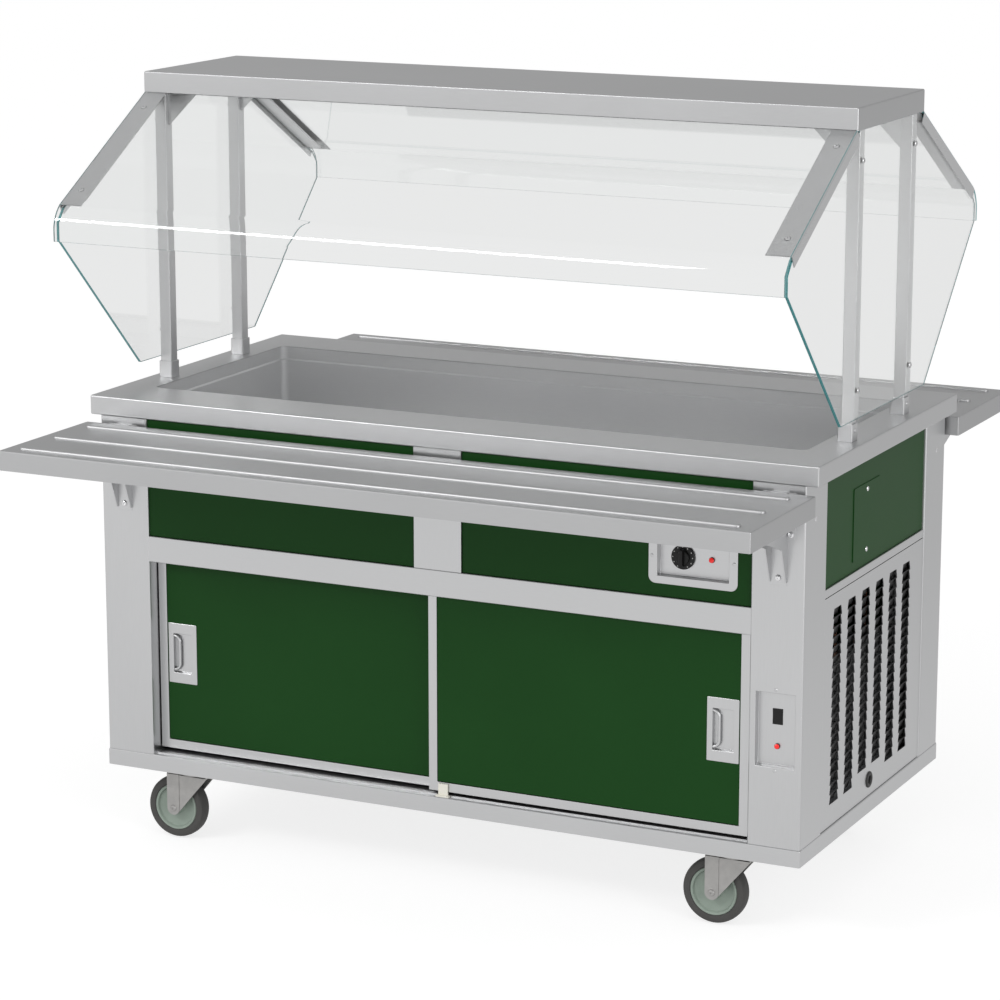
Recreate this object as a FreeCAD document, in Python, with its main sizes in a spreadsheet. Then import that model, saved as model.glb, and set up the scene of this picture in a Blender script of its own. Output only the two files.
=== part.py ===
# A mobile refrigerated salad bar: a stainless cabinet on swivel casters with sliding doors, a cold well in its
# counter, a glass guard carried by an overshelf, and a ribbed tray slide along each long side.
# Millimetres. X runs along the length with the controls and louvres at +X, the control side faces -Y,
# Z is up and the origin is on the floor under the middle of the counter.
import FreeCAD, Part
import math
import os
import Sketcher

SIZES = {
    # casters and base pan
    "caster_height": 157.0,
    "base_height": 33.0,
    "base_proud": 3.0,
    "base_sheet": 3.0,
    "channel_width": 130.0,
    "caster_inset": 152.0,
    "caster_side_inset": 76.0,
    "drain_passage": 50.0,
    # cabinet shell
    "cabinet_length": 1474.0,
    "cabinet_depth": 758.0,
    "cabinet_height": 680.0,
    "sheet": 2.0,
    "post_face": 100.0,
    "post_side": 106.0,
    "post_return": 18.0,
    "mid_rail_height": 52.0,
    "rail_depth": 20.0,
    "rail_top_flange": 46.0,
    "rail_hem": 5.0,
    "mullion_width": 100.0,
    "upper_band": 234.0,
    "side_screw_drop": 69.0,
    "side_screw_back": 48.0,
    "panel_setback": 4.0,
    "panel_depth": 18.0,
    "panel_sheet": 1.5,
    "seam": 0.5,
    # right end
    "end_rail_height": 16.0,
    "louvre_length": 46.0,
    "louvre_flare": 4.5,
    "louvre_bridge": 3.8,
    "louvre_rows": 20.0,
    "louvre_column_pitch": 75.5,
    "louvre_top_margin": 28.5,
    "louvre_bottom_margin": 41.5,
    "louvre_from_middle": 14.0,
    "hatch_side": 140.0,
    "hatch_lap": 10.0,
    "hatch_from_middle": 50.0,
    "hatch_rise": 88.0,
    "grommet_flange": 32.0,
    "grommet_neck": 24.0,
    "grommet_bore": 16.0,
    "grommet_inner_lip": 4.0,
    "grommet_outer_lip": 3.0,
    "grommet_lip_step": 1.0,
    "grommet_bevel": 1.5,
    "grommet_height": 222.0,
    "grommet_from_middle": 11.0,
    "machine_bay": 407.0,
    "divider_gap": 12.0,
    "divider_front_gap": 10.0,
    # counter and cold well
    "counter_end_overhang": 25.0,
    "counter_side_overhang": 2.0,
    "counter_edge": 38.0,
    "counter_return": 45.0,
    "counter_round": 3.0,
    "well_end_rim": 72.0,
    "well_side_rim": 123.5,
    "well_depth": 205.0,
    "well_ledge_drop": 26.0,
    "well_ledge": 3.0,
    "well_sheet": 1.5,
    "well_cove": 14.0,
    "coil_space": 9.0,
    "case_end_gap": 1.0,
    "insulation_side": 38.0,
    "insulation_floor": 38.0,
    "case_sheet": 1.5,
    "tube_diameter": 8.0,
    "tube_bend": 20.0,
    "coil_turns": 5.0,
    "coil_pitch": 31.0,
    "coil_bottom": 16.0,
    "tube_clearance": 0.3,
    "tube_hole_clearance": 1.5,
    "line_run_height": 60.0,
    "line_offset": 60.0,
    "liquid_line_from_end": 177.0,
    "suction_line_from_end": 117.0,
    "suction_stand_off": 22.0,
    # drain
    "drain_from_end": 210.0,
    "drain_flange_sheet": 2.0,
    "drain_hole_clearance": 0.2,
    "drain_pipe": 27.0,
    "drain_wall": 3.0,
    "drain_flange": 60.0,
    "drain_length": 135.0,
    "valve_body": 40.0,
    "valve_drop": 85.0,
    "valve_stem": 8.0,
    "lever_length": 80.0,
    "lever_width": 14.0,
    "lever_sheet": 3.0,
    # condensing unit
    "unit_base_length": 360.0,
    "unit_base_width": 400.0,
    "unit_base_height": 25.0,
    "compressor_radius": 75.0,
    "compressor_height": 185.0,
    "compressor_from_end": 267.0,
    "compressor_y": 60.0,
    "compressor_foot": 12.0,
    "compressor_foot_sheet": 4.0,
    "compressor_foot_rise": 10.0,
    "compressor_seam": 4.0,
    "compressor_seam_half": 3.0,
    "compressor_shoulder": 34.0,
    "compressor_crown": 12.0,
    "terminal_width": 64.0,
    "terminal_reach": 30.0,
    "terminal_bottom": 50.0,
    "terminal_height": 70.0,
    "coil_face": 300.0,
    "coil_height": 265.0,
    "coil_depth": 42.0,
    "coil_gap": 16.0,
    "fin_grooves": 12.0,
    "fin_groove_width": 12.0,
    "fin_groove_depth": 8.0,
    "fin_groove_margin": 10.0,
    "fan_radius": 112.0,
    "fan_tip_gap": 8.0,
    "shroud_depth": 26.0,
    "fan_hub_radius": 16.0,
    "fan_shaft": 8.0,
    "fan_pitch": 28.0,
    "blade_width": 50.0,
    "motor_radius": 38.0,
    "motor_length": 62.0,
    "motor_gap": 8.0,
    "motor_stand_width": 28.0,
    "motor_stand_inset": 12.0,
    "motor_stand_sheet": 6.0,
    "motor_foot_length": 34.0,
    "motor_foot_sheet": 3.0,
    "motor_bore_depth": 42.0,
    "fan_hub_gap": 2.0,
    "fan_hub_length": 20.0,
    "blade_sheet": 1.5,
    # overshelf and guard
    "shelf_end_inset": 15.0,
    "shelf_depth": 360.0,
    "shelf_edge": 42.0,
    "shelf_clearance": 574.0,
    "post_tube": 25.0,
    "post_wall": 1.5,
    "post_spacing": 284.0,
    "collar_side": 30.0,
    "collar_height": 33.0,
    "collar_screw_height": 20.0,
    "gusset_leg": 70.0,
    "gusset_plate": 3.0,
    "glass": 6.0,
    "glass_gap": 0.5,
    "arm_slope": 30.2,
    "arm_length": 364.0,
    "arm_width": 50.0,
    "arm_sheet": 3.0,
    "arm_flange": 23.0,
    "arm_flange_sheet": 2.0,
    "arm_tab": 18.0,
    "arm_screw_inset": 48.0,
    "gasket": 1.5,
    "clamp_width": 32.0,
    "clamp_sheet": 4.0,
    "clamp_inset": 14.0,
    "clamp_play": 0.3,
    "gasket_play": 0.2,
    "glass_hole_play": 0.5,
    "guard_depth": 1028.0,
    "glass_bend": 50.0,
    "glass_foot": 323.0,
    "end_glass_gap": 42.0,
    "end_glass_foot": 456.0,
    "screw": 5.0,
    "screw_head": 12.0,
    "screw_head_height": 2.5,
    "screw_clearance": 0.5,
    "post_screw_drop": 57.0,
    "post_screw_rise": 95.0,
    # tray slides
    "tray_depth": 310.0,
    "tray_edge": 38.0,
    "tray_drop": 50.0,
    "tray_gap": 13.0,
    "tray_rib_width": 16.0,
    "tray_rib_height": 5.0,
    "tray_rib_pitch": 115.0,
    "tray_rib_inset": 31.0,
    "bracket_inset": 74.0,
    "bracket_width": 34.0,
    "bracket_ear": 64.0,
    "bracket_height": 172.0,
    "bracket_reach": 270.0,
    "bracket_sheet": 3.0,
    "bracket_foot": 6.0,
    "bracket_tip": 16.0,
    "bracket_knee_out": 31.0,
    "bracket_knee_up": 72.0,
    "bracket_low_bolt": 14.0,
    "bracket_high_bolt": 95.0,
    "bracket_bolt_inset": 9.0,
    # sliding doors
    "door_overlap": 24.0,
    "door_end_gap": 4.0,
    "door_lap": 20.0,
    "door_thickness": 16.0,
    "door_spacing": 20.0,
    "door_setback": 8.0,
    "door_lift": 9.0,
    "door_stile": 18.0,
    "door_bottom_rail": 19.0,
    "door_panel_thickness": 8.0,
    "door_panel_setback": 2.0,
    "track_height": 24.0,
    "track_wall": 2.0,
    "track_channel": 14.0,
    "track_slot": 8.0,
    "glide_height": 9.0,
    "glide_clearance": 1.0,
    "glide_lift": 0.3,
    "hanger_lap": 4.0,
    "sill_height": 3.0,
    "hanger_length": 30.0,
    "hanger_from_middle": 220.0,
    "guide_from_middle": 8.0,
    "guide_width": 27.0,
    "guide_tab": 20.0,
    "guide_height": 25.0,
    "guide_sheet": 3.0,
    "guide_gap": 1.0,
    "guide_proud": 1.0,
    "pull_width": 64.0,
    "pull_height": 122.0,
    "pull_lip": 1.5,
    "pull_margin": 2.0,
    "pull_rise": 197.0,
    "cup_width": 41.0,
    "cup_height": 80.0,
    "cup_depth": 9.0,
    "bow_bar": 6.0,
    # thermostat
    "bezel_length": 176.0,
    "bezel_height": 103.0,
    "bezel_corner": 14.0,
    "bezel_sheet": 2.0,
    "bezel_from_bay": 117.0,
    "bezel_rise": 76.0,
    "bezel_screw_inset": 7.0,
    "thermostat_side": 44.0,
    "thermostat_height": 48.0,
    "thermostat_depth": 26.0,
    "thermostat_bore": 20.0,
    "knob_shaft_length": 18.0,
    "knob_skirt": 5.6,
    "knob_draft": 2.5,
    "pointer_width": 3.0,
    "pointer_relief": 1.0,
    "pointer_root": 2.0,
    "pointer_inset": 4.0,
    "recess_length": 141.0,
    "recess_height": 73.0,
    "recess_depth": 12.0,
    "box_sheet": 1.5,
    "knob_diameter": 46.0,
    "knob_length": 16.0,
    "knob_shaft": 6.0,
    "knob_offset": 24.0,
    "pilot_offset": 32.0,
    "pilot_diameter": 11.0,
    "pilot_height": 4.0,
    # switch
    "plate_width": 98.0,
    "plate_height": 162.0,
    "switch_recess_width": 77.0,
    "switch_recess_height": 140.0,
    "switch_z": 412.0,
    "rocker_width": 15.0,
    "rocker_height": 30.0,
    "rocker_depth": 8.0,
    "rocker_offset": 23.0,
    "rocker_gap": 1.0,
    "rocker_space": 4.0,
    "rocker_back": 2.0,
    "rocker_dish": 1.5,
    "plate_screw_inset": 5.0,
    "rocker_pin": 3.0,
    "switch_pilot_offset": 33.0,
    # casters
    "wheel_diameter": 127.0,
    "tyre_width": 32.0,
    "rim_diameter": 94.0,
    "hub_width": 39.0,
    "hub_boss": 28.0,
    "hub_flare": 2.0,
    "hub_web_step": 4.0,
    "rim_step": 3.0,
    "rim_wall": 8.0,
    "rim_lip": 3.0,
    "tyre_cheek": 4.0,
    "tyre_edge": 4.0,
    "tyre_crown": 1.0,
    "tyre_shoulder": 6.0,
    "tyre_flat": 5.0,
    "axle_head": 18.0,
    "axle_head_height": 4.0,
    "axle": 12.0,
    "trail": 40.0,
    "mount_plate_length": 100.0,
    "mount_plate_width": 90.0,
    "mount_plate_sheet": 4.0,
    "raceway_diameter": 60.0,
    "fork_sheet": 3.0,
    "fork_crown": 4.0,
    "fork_crown_drop": 20.0,
    "fork_toe": 14.0,
    "fork_taper": 40.0,
    "fork_clearance": 0.5,
    "raceway_gap": 0.3,
    "pin_clearance": 0.08,
}

doc = FreeCAD.newDocument("salad_bar")
sheet_object = doc.addObject("Spreadsheet::Sheet", "sizes")
for row, (alias, number) in enumerate(SIZES.items(), start=1):
    sheet_object.set(f"A{row}", alias)
    sheet_object.set(f"B{row}", str(number))
    sheet_object.setAlias(f"B{row}", alias)
doc.recompute()


class Size:
    """A length or an angle: the rule that binds it to the sheet, and its value now."""

    def __init__(self, rule, value):
        self.rule = rule
        self.value = float(value)

    def __add__(self, other):
        other = as_size(other)
        return Size(f"({self.rule} + {other.rule})", self.value + other.value)

    def __sub__(self, other):
        other = as_size(other)
        return Size(f"({self.rule} - {other.rule})", self.value - other.value)

    def __mul__(self, other):
        other = as_size(other)
        return Size(f"({self.rule} * {other.rule})", self.value * other.value)

    def __truediv__(self, other):
        other = as_size(other)
        return Size(f"({self.rule} / {other.rule})", self.value / other.value)

    def __neg__(self):
        return Size(f"(0 - {self.rule})", -self.value)

    def __radd__(self, other):
        return as_size(other) + self

    def __rsub__(self, other):
        return as_size(other) - self

    def __rmul__(self, other):
        return as_size(other) * self

    def __rtruediv__(self, other):
        return as_size(other) / self


def as_size(number):
    if isinstance(number, Size):
        return number
    text = f"(0 - {-number})" if number < 0 else str(number)
    return Size(text, number)


def sine(angle):
    return Size(f"sin({angle.rule})", math.sin(math.radians(angle.value)))


def cosine(angle):
    return Size(f"cos({angle.rule})", math.cos(math.radians(angle.value)))


def tangent(angle):
    return Size(f"tan({angle.rule})", math.tan(math.radians(angle.value)))


class Sheet:
    """Each size of the sheet under its own name."""

    def __init__(self, source):
        for alias in SIZES:
            setattr(self, alias, Size(f"sizes.{alias}", source.get(alias)))


s = Sheet(sheet_object)
X_AXIS = FreeCAD.Vector(1, 0, 0)
Y_AXIS = FreeCAD.Vector(0, 1, 0)
Z_AXIS = FreeCAD.Vector(0, 0, 1)
TURN_TO_X = FreeCAD.Rotation(Y_AXIS, 90)
TURN_TO_MINUS_Y = FreeCAD.Rotation(X_AXIS, 90)
UPRIGHT = FreeCAD.Rotation()
HALF_TURN = 180
nodes = []


# ---- ways of making a piece ----------------------------------------------------------------------------------
def bind(feature, prop, size):
    feature.setExpression(prop, as_size(size).rule)


def place(feature, at, turn=UPRIGHT):
    feature.Placement = FreeCAD.Placement(FreeCAD.Vector(), turn)
    for axis, size in zip("xyz", at):
        bind(feature, f"Placement.Base.{axis}", size)
    return feature


def block(name, low, high):
    """A box between two opposite corners."""
    box = doc.addObject("Part::Box", name)
    for prop, near, far in zip(("Length", "Width", "Height"), low, high):
        bind(box, prop, as_size(far) - near)
    return place(box, low)


def rod(name, foot, radius, length, turn=UPRIGHT):
    """A round bar that starts at foot and runs along +Z, or along the turned axis."""
    bar = doc.addObject("Part::Cylinder", name)
    bind(bar, "Radius", radius)
    bind(bar, "Height", length)
    return place(bar, foot, turn)


def fuse(name, *pieces):
    joined = doc.addObject("Part::MultiFuse", name)
    joined.Shapes = list(pieces)
    joined.Refine = True
    return joined


def cut(name, base, *tools):
    tool = tools[0] if len(tools) == 1 else fuse(name + "_tools", *tools)
    left = doc.addObject("Part::Cut", name)
    left.Base = base
    left.Tool = tool
    return left


def mirror(name, source, normal):
    copy = doc.addObject("Part::Mirroring", name)
    copy.Source = source
    copy.Normal = normal
    return copy


def four_ways(name, source):
    """The piece and its mirror images across the middle planes of the length and of the depth."""
    across = mirror(name + "_across", source, X_AXIS)
    behind = mirror(name + "_behind", source, Y_AXIS)
    opposite = mirror(name + "_opposite", across, Y_AXIS)
    return [source, across, behind, opposite]


def group(name, pieces):
    together = doc.addObject("Part::Compound", name)
    together.Links = pieces
    return together


def round_edges(name, base, radius, chosen):
    """Rounds the edges whose two ends the chosen test accepts."""
    doc.recompute()
    rounded = doc.addObject("Part::Fillet", name)
    rounded.Base = base
    picked = []
    for number, edge in enumerate(base.Shape.Edges, start=1):
        ends = [vertex.Point for vertex in edge.Vertexes]
        if len(ends) == 2 and chosen(ends[0], ends[1]):
            picked.append((number, radius.value, radius.value))
    rounded.Edges = picked
    return rounded


def same(a, b):
    return abs(a - b) < 1e-6


def upright_edge(a, b):
    return same(a.x, b.x) and same(a.y, b.y)


def origin_plane(body, role):
    return next(plane for plane in body.Origin.OriginFeatures if plane.Role == role)


def outline(body, name, plane, corners):
    """A closed outline of straight runs on an origin plane; each corner's two distances are bound."""
    sketch = body.newObject("Sketcher::SketchObject", name)
    sketch.AttachmentSupport = (origin_plane(body, plane), "")
    sketch.MapMode = "FlatFace"
    corners = [(as_size(a), as_size(b)) for a, b in corners]
    add_loop(sketch, corners)
    return sketch


def add_loop(sketch, corners):
    first = sketch.GeometryCount
    count = len(corners)
    points = [FreeCAD.Vector(a.value, b.value, 0) for a, b in corners]
    for index in range(count):
        sketch.addGeometry(Part.LineSegment(points[index], points[(index + 1) % count]), False)
    for index in range(count):
        following = first + (index + 1) % count
        sketch.addConstraint(Sketcher.Constraint("Coincident", first + index, 2, following, 1))
    for index, (a, b) in enumerate(corners):
        for kind, size in (("DistanceX", a), ("DistanceY", b)):
            rule = Sketcher.Constraint(kind, -1, 1, first + index, 1, size.value)
            number = sketch.addConstraint(rule)
            label = f"{kind}_{first + index}"
            sketch.renameConstraint(number, label)
            sketch.setExpression(f"Constraints.{label}", size.rule)


def padded(name, plane, corners, length, at=(0, 0, 0)):
    """A body padded from an outline: XY pads along +Z, XZ along +Y and YZ along +X."""
    body = doc.addObject("PartDesign::Body", name)
    pad = body.newObject("PartDesign::Pad", name + "_pad")
    pad.Profile = outline(body, name + "_outline", plane, corners)
    pad.Reversed = plane == "XZ_Plane"
    bind(pad, "Length", length)
    body.Tip = pad
    return place(body, at)


def turned(name, corners, at=(0, 0, 0), turn=UPRIGHT):
    """A body turned about its own Z from an outline of (radius, height) corners."""
    body = doc.addObject("PartDesign::Body", name)
    spin = body.newObject("PartDesign::Revolution", name + "_turning")
    sketch = outline(body, name + "_outline", "XZ_Plane", corners)
    spin.Profile = sketch
    spin.ReferenceAxis = (sketch, ["V_Axis"])
    spin.Angle = 360
    body.Tip = spin
    return place(body, at, turn)


def node(label, piece):
    """Names a finished sub-part; the label is also its file's name."""
    piece.Label = label
    nodes.append(piece)
    return piece


def tray_block(name, low, high, wall, open_side):
    """A sheet tray: a box of the given corners, hollow and open on one side such as -z or +y."""
    axis = "xyz".index(open_side[1])
    inner_low = [as_size(size) + wall for size in low]
    inner_high = [as_size(size) - wall for size in high]
    if open_side[0] == "-":
        inner_low[axis] = as_size(low[axis])
    else:
        inner_high[axis] = as_size(high[axis])
    return cut(name, block(name + "_outer", low, high), block(name + "_hollow", inner_low, inner_high))


# ---- levels and faces that several pieces share --------------------------------------------------------------
deck = s.caster_height + s.base_height
cabinet_top = deck + s.cabinet_height
counter_top = cabinet_top + s.counter_edge
shelf_bottom = counter_top + s.shelf_clearance
shelf_top = shelf_bottom + s.shelf_edge
half_length = s.cabinet_length / 2
half_depth = s.cabinet_depth / 2
counter_half_length = half_length + s.counter_end_overhang
counter_half_depth = half_depth + s.counter_side_overhang
bay = half_length - s.post_face
side_bay = half_depth - s.post_side
rail_top = cabinet_top - s.upper_band
opening_top = rail_top - s.mid_rail_height
panel_face = half_depth - s.panel_setback
end_panel_face = half_length - s.panel_setback
louvre_panel_top = rail_top + s.seam
end_panel_bottom = louvre_panel_top + s.seam * 2 + s.end_rail_height
hatch_z = end_panel_bottom + s.hatch_rise
bezel_x = bay - s.bezel_from_bay
bezel_z = rail_top + s.bezel_rise
unit_right = half_length - s.panel_depth - s.seam * 4
compressor_x = unit_right - s.compressor_from_end
liquid_line_x = unit_right - s.liquid_line_from_end
suction_line_x = unit_right - s.suction_line_from_end
caster_x = half_length - s.caster_inset
caster_y = half_depth - s.caster_side_inset
well_half_length = counter_half_length - s.well_end_rim
well_half_width = counter_half_depth - s.well_side_rim
drain_x = s.drain_from_end - well_half_length


# ---- base pan and casters ------------------------------------------------------------------------------------
def make_base():
    """A folded pan, open underneath, with a channel across it over each pair of casters."""
    x = half_length + s.base_proud
    y = half_depth + s.base_proud
    wall = s.base_sheet
    pan = tray_block("pan", (-x, -y, s.caster_height), (x, y, deck), wall, "-z")
    pieces = [pan]
    for name, side in (("left_channel", -1), ("right_channel", 1)):
        middle = caster_x * side
        low = (middle - s.channel_width / 2, wall - y, s.caster_height)
        high = (middle + s.channel_width / 2, y - wall, deck - wall)
        inside_low = (low[0] + wall, wall - y, s.caster_height + wall)
        inside_high = (high[0] - wall, y - wall, deck - wall)
        pieces.append(cut(name, block(name + "_outer", low, high), block(name + "_in", inside_low, inside_high)))
    # the drain's pipe or hose leaves the cabinet through this hole
    passage = rod("drain_passage", (drain_x, 0, deck - wall), s.drain_passage / 2, wall)
    node("base_pan", cut("base_pan", fuse("pan_blank", *pieces), passage))


def make_caster_plates():
    """The four bolted plates, each with a bore for its king pin and four bolt heads."""
    top = s.caster_height
    low_face = top - s.mount_plate_sheet
    x = caster_x
    y = -caster_y
    half_x = s.mount_plate_length / 2
    half_y = s.mount_plate_width / 2
    inset = s.screw_head
    plate = block("caster_plate", (x - half_x, y - half_y, low_face), (x + half_x, y + half_y, top))
    heads = []
    for index, (side_x, side_y) in enumerate(((-1, -1), (-1, 1), (1, -1), (1, 1))):
        centre_x = x + (half_x - inset) * side_x
        centre_y = y + (half_y - inset) * side_y
        foot = (centre_x, centre_y, low_face - s.screw_head_height)
        heads.append(rod(f"plate_bolt_{index}", foot, s.screw_head / 2, s.screw_head_height))
    bore = rod("king_pin_bore", (x, y, low_face), s.axle / 2 + s.pin_clearance, s.mount_plate_sheet)
    finished = cut("bored_caster_plate", fuse("bolted_caster_plate", plate, *heads), bore)
    node("caster_plates", group("caster_plates", four_ways("caster_plate_set", finished)))


def make_caster(label, side_x, side_y):
    """A swivel fork with its king pin and axle, and a wheel that trails towards -X."""
    x = caster_x * side_x
    y = caster_y * side_y
    axle_z = s.wheel_diameter / 2
    axle_x = x - s.trail
    plate_bottom = s.caster_height - s.mount_plate_sheet
    crown_top = plate_bottom - s.fork_crown_drop + s.fork_crown
    crown_bottom = plate_bottom - s.fork_crown_drop
    leg_inner = s.hub_width / 2 + s.fork_clearance
    leg_outer = leg_inner + s.fork_sheet
    touch_x = s.fork_toe * sine(s.fork_taper)
    touch_z = s.fork_toe * cosine(s.fork_taper)
    back_top = axle_x + touch_x + (crown_top - axle_z + touch_z) * tangent(s.fork_taper)
    side_outline = [
        (axle_x - s.fork_toe, axle_z),
        (axle_x + touch_x, axle_z - touch_z),
        (back_top, crown_top),
        (axle_x - s.fork_toe, crown_top),
    ]
    pieces = []
    for name, face in (("near", -leg_outer), ("far", leg_inner)):
        leg = padded(f"{label}_{name}_leg", "XZ_Plane", side_outline, s.fork_sheet, (0, y + face, 0))
        toe_foot = (axle_x, y + face + s.fork_sheet, axle_z)
        toe = rod(f"{label}_{name}_toe", toe_foot, s.fork_toe, s.fork_sheet, TURN_TO_MINUS_Y)
        pieces += [leg, toe]
    crown_low = (axle_x - s.fork_toe, y - leg_outer, crown_bottom)
    crown_high = (back_top - s.fork_sheet, y + leg_outer, crown_top)
    pieces.append(block(f"{label}_crown", crown_low, crown_high))
    race_top = plate_bottom - s.raceway_gap
    pieces.append(rod(f"{label}_race", (x, y, crown_top), s.raceway_diameter / 2, race_top - crown_top))
    pin_length = s.mount_plate_sheet
    pieces.append(rod(f"{label}_king_pin", (x, y, race_top), s.axle / 2, pin_length))
    whole = fuse(f"{label}_fork_blank", *pieces)
    axle_foot = (axle_x, y + leg_outer, axle_z)
    hole = rod(f"{label}_axle_hole", axle_foot, s.axle / 2, leg_outer * 2, TURN_TO_MINUS_Y)
    fork = cut(f"{label}_bored_fork", whole, hole)
    shaft = rod(f"{label}_axle_shaft", axle_foot, s.axle / 2, leg_outer * 2, TURN_TO_MINUS_Y)
    head = s.axle_head_height
    head_radius = s.axle_head / 2
    far_head_foot = (axle_x, y + leg_outer + head, axle_z)
    far_head = rod(f"{label}_axle_far_head", far_head_foot, head_radius, head, TURN_TO_MINUS_Y)
    near_head_foot = (axle_x, y - leg_outer, axle_z)
    near_head = rod(f"{label}_axle_near_head", near_head_foot, head_radius, head, TURN_TO_MINUS_Y)
    axle = fuse(f"{label}_axle", shaft, far_head, near_head)
    node(f"{label}_fork", group(f"{label}_fork", [fork, axle]))

    bore = s.axle / 2 + s.pin_clearance
    rim = s.rim_diameter / 2
    boss = s.hub_boss / 2
    boss_half = s.hub_width / 2
    tyre_half = s.tyre_width / 2
    rim_half = tyre_half - s.rim_step
    web_half = rim_half - s.hub_web_step
    flare = boss + s.hub_flare
    wall = rim - s.rim_wall
    lip = rim - s.rim_lip
    hub_outline = [
        (bore, -boss_half),
        (boss, -boss_half),
        (flare, -web_half),
        (wall, -web_half),
        (lip, -rim_half),
        (rim, -rim_half),
        (rim, rim_half),
        (lip, rim_half),
        (wall, web_half),
        (flare, web_half),
        (boss, boss_half),
        (bore, boss_half),
    ]
    tread = s.wheel_diameter / 2
    shoulder = tyre_half - s.tyre_shoulder
    flat = shoulder - s.tyre_flat
    cheek = rim + s.tyre_cheek
    edge = tread - s.tyre_edge
    crown = tread - s.tyre_crown
    tyre_outline = [
        (rim, -rim_half),
        (cheek, -tyre_half),
        (edge, -tyre_half),
        (crown, -shoulder),
        (tread, -flat),
        (tread, flat),
        (crown, shoulder),
        (edge, tyre_half),
        (cheek, tyre_half),
        (rim, rim_half),
    ]
    centre = (axle_x, y, axle_z)
    hub = turned(f"{label}_hub", hub_outline, centre, TURN_TO_MINUS_Y)
    tyre = turned(f"{label}_tyre", tyre_outline, centre, TURN_TO_MINUS_Y)
    node(f"{label}_wheel", group(f"{label}_wheel", [hub, tyre]))


# ---- cabinet shell -------------------------------------------------------------------------------------------
def make_corner_posts():
    """Four folded corner posts; the one at the right of the control side is cut out for the switch."""
    x0 = -half_length
    x1 = x0 + s.post_face
    y0 = -half_depth
    y1 = y0 + s.post_side
    corners = [
        (x0, y0),
        (x1, y0),
        (x1, y0 + s.post_return),
        (x1 - s.sheet, y0 + s.post_return),
        (x1 - s.sheet, y0 + s.sheet),
        (x0 + s.sheet, y0 + s.sheet),
        (x0 + s.sheet, y1 - s.sheet),
        (x0 + s.post_return, y1 - s.sheet),
        (x0 + s.post_return, y1),
        (x0, y1),
    ]
    sheet_post = padded("folded_post", "XY_Plane", corners, s.cabinet_height, (0, 0, deck))
    # a screw in the post's side holds the frame inside it
    head_foot = (x0 - s.screw_head_height, y0 + s.side_screw_back, cabinet_top - s.side_screw_drop)
    head = rod("post_side_screw", head_foot, s.screw_head / 2, s.screw_head_height, TURN_TO_X)
    post = fuse("screwed_post", sheet_post, head)
    front_right_blank = mirror("front_right_blank", post, X_AXIS)
    rear_left = mirror("rear_left_post", post, Y_AXIS)
    rear_right = mirror("rear_right_post", rear_left, X_AXIS)
    half_width = s.switch_recess_width / 2 + s.box_sheet + s.seam
    half_height = s.switch_recess_height / 2 + s.box_sheet + s.seam
    low = (switch_x - half_width, -half_depth - 1, s.switch_z - half_height)
    high = (switch_x + half_width, s.sheet + 1 - half_depth, s.switch_z + half_height)
    front_right = cut("front_right_post", front_right_blank, block("switch_cutout", low, high))
    node("corner_post_front_left", post)
    node("corner_post_front_right", front_right)
    node("corner_post_rear_left", rear_left)
    node("corner_post_rear_right", rear_right)


def make_frame_rails():
    """The rail over the doors with its deep top flange, the centre mullion, and the short rail on the end."""
    end = bay - s.seam / 2
    face = -half_depth
    mid_outline = [
        (face, opening_top),
        (face + s.rail_hem, opening_top),
        (face + s.rail_hem, opening_top + s.sheet),
        (face + s.sheet, opening_top + s.sheet),
        (face + s.sheet, rail_top - s.sheet),
        (face + s.rail_top_flange, rail_top - s.sheet),
        (face + s.rail_top_flange, rail_top),
        (face, rail_top),
    ]
    mid_rail = padded("mid_rail", "YZ_Plane", mid_outline, end * 2, (-end, 0, 0))
    low = (-s.mullion_width / 2, face, rail_top)
    high = (s.mullion_width / 2, face + s.rail_depth, cabinet_top)
    mullion = tray_block("mullion", low, high, s.sheet, "+y")
    side_end = side_bay - s.seam / 2
    end_bottom = louvre_panel_top + s.seam
    end_low = (half_length - s.rail_depth, -side_end, end_bottom)
    end_high = (half_length, side_end, end_bottom + s.end_rail_height)
    end_rail = tray_block("end_rail", end_low, end_high, s.sheet, "-x")
    node("frame_rails", group("frame_rails", [mid_rail, mullion, end_rail]))


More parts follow.
